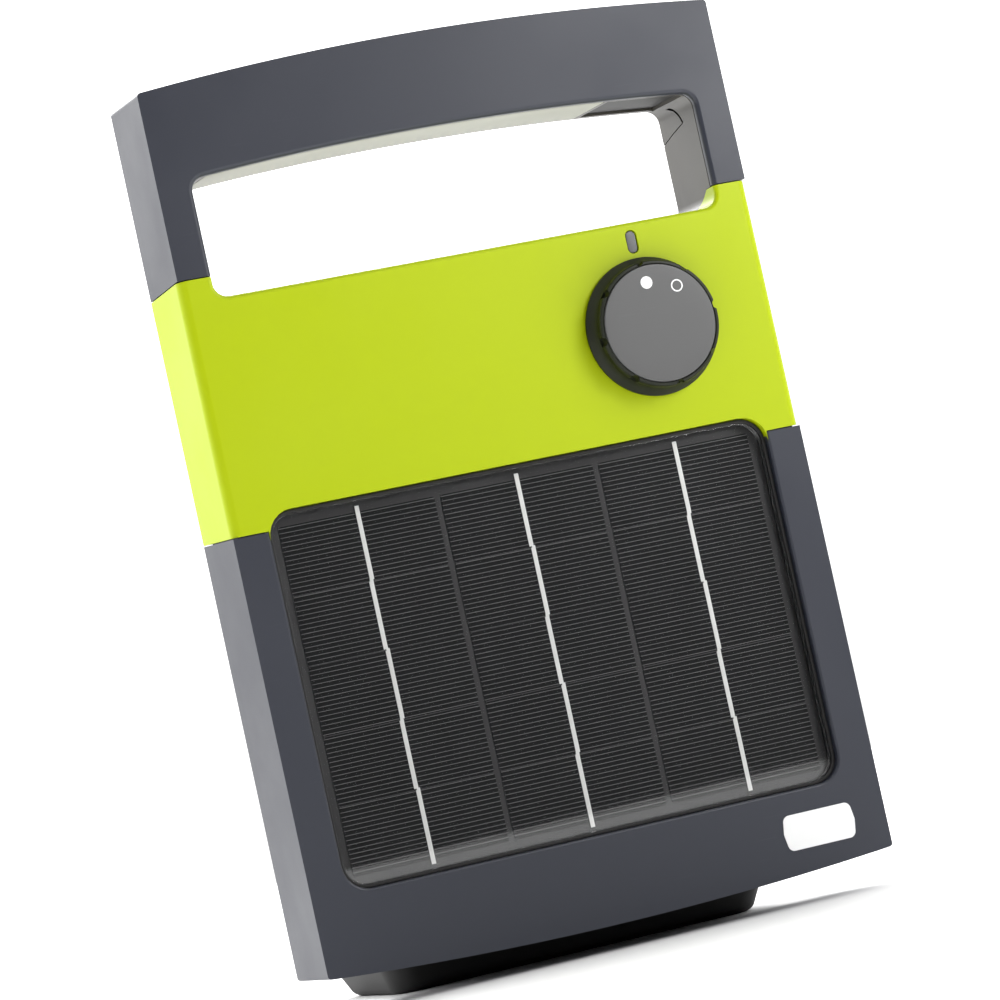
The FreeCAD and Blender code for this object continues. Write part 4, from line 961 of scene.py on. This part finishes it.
def makeRearShell():
    """The closing plate and the deep battery box behind it, with stiffening ribs down its sides."""
    high = opening["low"] - case["skin"] - 0.05 * mm
    piece = plate("closingPlate", insideOutline(0.25 * mm, high=high), flankBack - case["skin"], flankBack - 0.1 * mm)
    editOn(piece)
    bevelEdges(lambda a, b: near(a.y, flankBack - 0.1 * mm) and near(b.y, flankBack - 0.1 * mm), 0.35 * mm, 2)
    editOff()
    placePiece(piece, finish["charcoal"], "case", "charcoal_plastic", "rear_shell")
    half = coverBox[1][0]
    bottom = coverBox[0][2]
    step = coverBox[1][2]
    box = block("batteryBox", (-half, flankBack - 0.6 * mm, bottom), (half, rearBox[1][1], step))
    editOn(box)
    bevelEdges(lambda a, b: near(a.y, b.y) is False and near(a.x, b.x) and near(a.z, b.z), 1.6 * mm, 4)
    bevelEdges(lambda a, b: near(a.y, rearBox[1][1]) and near(b.y, rearBox[1][1]), 0.3 * mm, 2)
    editOff()
    grooves = []
    for sign in (-1, 1):
        for i in range(rear["ribs"]):
            z = bottom + (step - bottom) * (i + 1) / (rear["ribs"] + 1)
            inner, outer = sorted((sign * (half - 1.0 * mm), sign * (half + 1 * mm)))
            groove = plate("groove", roundedBox(flankBack + 8 * mm, rearBox[1][1] - 7 * mm, z - 8 * mm, z + 8 * mm, 3 * mm),
                           inner, outer, "X")
            grooves.append(groove)
    cutAway(box, *grooves)
    editOn(box)
    bevelEdges(lambda a, b: (near(abs(a.x), half) and near(abs(b.x), half) and a.y > flankBack + 7 * mm
                             and b.y > flankBack + 7 * mm and a.y < rearBox[1][1] - 6 * mm and b.y < rearBox[1][1] - 6 * mm),
               0.4 * mm, 2)
    editOff()
    placePiece(box, finish["charcoal"], "case", "charcoal_plastic", "rear_shell")


def makeTerminalShell():
    low, high = deckBox
    piece = block("terminalShell", (low[0], flankBack - 0.6 * mm, low[2] + 0.1 * mm), (high[0], high[1], high[2]))
    editOn(piece)
    bevelEdges(lambda a, b: near(a.z, high[2]) and near(b.z, high[2]) and near(abs(a.x), high[0]) and near(abs(b.x), high[0]),
               6 * mm, 6)
    bevelEdges(lambda a, b: near(a.y, high[1]) and near(b.y, high[1]) and max(a.z, b.z) > low[2] + 1 * mm, 2.2 * mm, 4)
    editOff()
    for sign in (-1, 1):
        ring = rod("seat", (sign * 34 * mm, high[1], 194 * mm), 13.2 * mm, 1.2 * mm, vertices=64)
        cutAway(ring, rod("seatHole", (sign * 34 * mm, high[1], 194 * mm), 11.1 * mm, 3 * mm, vertices=64))
        editOn(ring)
        bevelEdges(lambda a, b: a.y > high[1] + 0.5 * mm and b.y > high[1] + 0.5 * mm, 0.3 * mm, 2)
        editOff()
        ring.name = f"terminalRim{'L' if sign < 0 else 'R'}"
        placePiece(ring, finish["charcoal"], "case", "charcoal_plastic", "terminal_shell")
    web = block("terminalWeb", (-0.9 * mm, high[1] - 1 * mm, 181 * mm), (0.9 * mm, high[1] + 4.5 * mm, 207 * mm))
    editOn(web)
    bevelEdges(lambda a, b: a.y > high[1] + 4 * mm and b.y > high[1] + 4 * mm, 0.6 * mm, 3)
    editOff()
    placePiece(web, finish["charcoal"], "case", "charcoal_plastic", "terminal_shell")
    placePiece(piece, finish["charcoal"], "case", "charcoal_plastic", "terminal_shell")


def makeBatteryCover():
    low, high = coverBox
    piece = block("batteryCover", low, high)
    editOn(piece)
    bevelEdges(lambda a, b: near(a.x, b.x) and near(a.z, b.z), 2.0 * mm, 5)
    bevelEdges(lambda a, b: near(a.y, high[1]) and near(b.y, high[1]), rear["coverRound"], 6)
    editOff()
    cuts = []
    for sign in (-1, 1):
        x = sign * rear["hangX"]
        cuts.append(rod("keyhole", (x, high[1], rear["hangZ"]), rear["hole"], 9 * mm, vertices=40))
        cuts.append(block("keyslot", (x - rear["slot"], high[1] - 4.5 * mm, rear["hangZ"]),
                          (x + rear["slot"], high[1] + 1 * mm, rear["hangZ"] + rear["climb"])))
    cuts.append(plate("labelBed", roundedBox(-40 * mm, 40 * mm, 62 * mm, 112 * mm, 4 * mm), high[1] - 0.5 * mm, high[1] + 1 * mm))
    for i in range(7):
        z = (26 + 4.2 * i) * mm
        cuts.append(plate("rib", roundedBox(-44 * mm, 44 * mm, z, z + 1.8 * mm, 0.85 * mm), high[1] - 0.8 * mm, high[1] + 1 * mm))
    for box in solidsOf("cover_screws"):
        middle = (box[0] + box[1]) / 2
        cuts.append(rod("sink", (middle.x, high[1], middle.z), 3.65 * mm, 5.4 * mm, vertices=32))
    cutAway(piece, *cuts)
    placePiece(piece, finish["charcoal"], "case", "charcoal_plastic", "battery_cover")


def makeFoot():
    """A plinth that narrows to its sole, with soft bottom edges and shallow grip treads underneath."""
    low, high = footBox
    flare = 4.85 * mm
    sole = roundedBox(low[0] + flare, high[0] - flare, low[1] + flare, high[1] - flare, 9 * mm)
    piece = plate("baseFoot", sole, 0.0, high[2], "Z")
    centre = Vector(((low[0] + high[0]) / 2, (low[1] + high[1]) / 2, 0))
    for vertex in piece.data.vertices:
        if vertex.co.z > high[2] / 2:
            away = vertex.co - centre
            vertex.co.x += math.copysign(flare, away.x) * min(1, abs(away.x) / (30 * mm))
            vertex.co.y += math.copysign(flare, away.y) * min(1, abs(away.y) / (20 * mm))
    editOn(piece)
    bevelEdges(lambda a, b: near(a.z, 0) and near(b.z, 0), 2.4 * mm, 5)
    editOff()
    cuts = []
    for i in range(9):
        x = (-44 + 11 * i) * mm
        cuts.append(block("tread", (x - 1.1 * mm, low[1] + 26 * mm, -1 * mm), (x + 1.1 * mm, high[1] - 22 * mm, 0.7 * mm)))
    for box in solidsOf("foot_screws"):
        middle = (box[0] + box[1]) / 2
        cuts.append(rod("sink", (middle.x, middle.y, 0), 3.7 * mm, 6.6 * mm, "Z", 32))
    cutAway(piece, *cuts)
    placePiece(piece, finish["blackRubber"], "case", "black_rubber", "base_foot")


nutProfile = [(4.6, 34.35), (9.6, 34.35), (10.6, 34.7), (11.3, 35.6), (11.45, 36.6), (11.45, 44.4), (11.2, 45.6),
              (10.2, 46.7), (8.8, 47.15), (7.0, 47.15), (6.6, 46.6), (4.6, 46.6)]


def makeTerminal(side, sign, colour, slot):
    x = sign * 34 * mm
    place = (x, 0, 194 * mm)
    nut = lathe(side + "Nut", [(r * mm, h * mm) for r, h in nutProfile], place, 1, 72, True)
    tools = []
    for i in range(12):
        angle = math.radians(30 * i)
        tools.append(rod("flute", (x + 12.2 * mm * math.cos(angle), 41 * mm, (194 + 12.2 * math.sin(angle)) * mm),
                         1.9 * mm, 16 * mm, vertices=20))
    cutAway(nut, joined("flutes", tools))
    placePiece(nut, finish[colour], f"{side}_thumb_nut", slot, f"{side}_nut")
    base = [(4.2, 27.7), (11.0, 27.7), (11.0, 31.4), (10.5, 32.2), (9.7, 32.55), (4.2, 32.55)]
    seat = lathe(side + "Base", [(r * mm, h * mm) for r, h in base], place, 1, 64, True)
    placePiece(seat, finish[colour], "case", slot, f"{side}_base")
    thread = [(3.95, 30.0)]
    for i in range(14):
        y = 32.7 + 1.25 * i
        thread += [(3.95, y), (3.5, y + 0.45), (3.5, y + 0.6), (3.95, y + 1.05)]
    thread = [(r, h) for r, h in thread if h < 49.2] + [(3.9, 49.3), (3.2, 50.05)]
    stud = lathe(side + "Stud", [(r * mm, h * mm) for r, h in thread], place, 1, 40)
    placePiece(stud, finish["stainless"], "case", "stainless", f"{side}_stud", angle=25)


makeRearShell()
makeTerminalShell()
makeBatteryCover()
makeFoot()
makeScrews()
makeTerminal("fence", -1, "redPlastic", "red_plastic")
makeTerminal("earth", 1, "greenPlastic", "green_plastic")
print("rear made")


# ---- carried-over nodes ----

nodeFinish = {
    "blackRubber": ["cover_seal", "case_seal", "shaft_seal"],
    "zincSteel": ["switch_nut", "board_screws", "battery_strap", "strap_screws"],
    "stainless": ["knob_shaft", "fence_washer", "earth_washer", "stud_washers", "stud_nuts"],
    "brass": ["fence_insert", "earth_insert"],
    "tinned": ["battery_tabs"],
    "knobPlastic": ["junction_box"],
    "ledResin": ["indicator_led"],
    "boardGreen": ["circuit_board"],
    "laminations": ["transformer_core"],
    "winding": ["transformer_coil"],
    "canSleeve": ["storage_capacitors"],
    "epoxy": ["output_thyristor", "switch_body"],
    "batteryCase": ["battery"],
    "foam": ["battery_foot_pad"],
    "leadRed": ["battery_leads"],
    "leadBlack": ["panel_leads"],
}
for name, nodes in nodeFinish.items():
    for node in nodes:
        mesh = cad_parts[node].data
        mesh.materials.clear()
        mesh.materials.append(finish[name])


# ---- stage, light and camera ----

stage = {"floor": (0.90, 0.90, 0.90), "reach": 1.4, "ahead": 0.04, "behind": 1.35}


def makeStage():
    bpy.ops.object.select_all(action="DESELECT")
    bpy.ops.mesh.primitive_plane_add(size=2 * stage["reach"], location=(0, 0, 0))
    floor = bpy.context.object
    floor.name = "floor"
    floor.data.materials.append(plainMaterial("floorPaint", stage["floor"], 0.9, specular=0.1))
    world = bpy.data.worlds.new("studio")
    bpy.context.scene.world = world
    world.use_nodes = True
    tree = world.node_tree
    tree.nodes["Background"].inputs["Color"].default_value = (1, 1, 1, 1)
    coordinates = tree.nodes.new("ShaderNodeTexCoord")
    split = tree.nodes.new("ShaderNodeSeparateXYZ")
    wire(tree, coordinates.outputs["Generated"], split.inputs["Vector"])
    behind = addNode(tree, "ShaderNodeMapRange", {"interpolation_type": "SMOOTHSTEP"},
                     **{"From Min": -0.75, "From Max": 0.9, "To Min": stage["ahead"], "To Max": stage["behind"]})
    wire(tree, split.outputs["Y"], behind.inputs["Value"])
    climb = addNode(tree, "ShaderNodeMapRange", **{"From Min": -0.1, "From Max": 0.35, "To Min": 0.5, "To Max": 2.6})
    wire(tree, split.outputs["Z"], climb.inputs["Value"])
    below = addNode(tree, "ShaderNodeMapRange", **{"From Min": -0.03, "From Max": -0.12, "To Min": 0.0, "To Max": 1.2})
    wire(tree, split.outputs["Z"], below.inputs["Value"])
    strength = mathNode(tree, "MULTIPLY", behind.outputs["Result"], climb.outputs["Result"])
    strength = mathNode(tree, "ADD", strength, below.outputs["Result"])
    wire(tree, strength, tree.nodes["Background"].inputs["Strength"])
    bpy.context.scene.view_settings.view_transform = "Standard"


lamps = {
    "leftBank": {"place": (-0.72, 0.10, 0.78), "aim": (-0.097, -0.03, 0.22), "size": 0.5, "power": 0.9},
    "upperRight": {"place": (1.15, -1.35, 1.45), "aim": (0.0, -0.03, 0.2), "size": 0.8, "power": 6},
    "nearRight": {"place": (0.36, -0.50, 0.38), "aim": (0.08, -0.04, 0.2), "size": 0.24, "power": 1.6},
    "overhead": {"place": (0.0, 1.0, 1.05), "aim": (0.0, 0.5, 0.0), "size": 0.9, "power": 19},
}


def makeLamps():
    for name, lamp in lamps.items():
        light = bpy.data.lights.new(name, "AREA")
        light.shape = "SQUARE"
        light.size = lamp["size"]
        light.energy = lamp["power"]
        holder = bpy.data.objects.new(name, light)
        bpy.context.scene.collection.objects.link(holder)
        holder.location = lamp["place"]
        aim = Vector(lamp["aim"]) - Vector(lamp["place"])
        holder.rotation_mode = "QUATERNION"
        holder.rotation_quaternion = aim.to_track_quat("-Z", "Y")
        holder.visible_camera = False


camera = {"place": (-0.5068, -1.4095, 0.0868), "yaw": 20.04, "pitch": 2.33, "roll": -12.36, "lens": 166.66}


def makeCamera():
    data = bpy.data.cameras.new("camera")
    data.lens = camera["lens"]
    data.sensor_width = 36
    data.clip_start = 0.05
    data.clip_end = 50
    holder = bpy.data.objects.new("camera", data)
    bpy.context.scene.collection.objects.link(holder)
    turn = Euler((math.radians(90 + camera["pitch"]), 0, math.radians(-camera["yaw"]))).to_matrix()
    turn = turn @ Matrix.Rotation(math.radians(camera["roll"]), 3, "Z")
    holder.matrix_world = Matrix.Translation(camera["place"]) @ turn.to_4x4()
    bpy.context.scene.camera = holder


makeStage()
makeLamps()
makeCamera()
print("stage set")
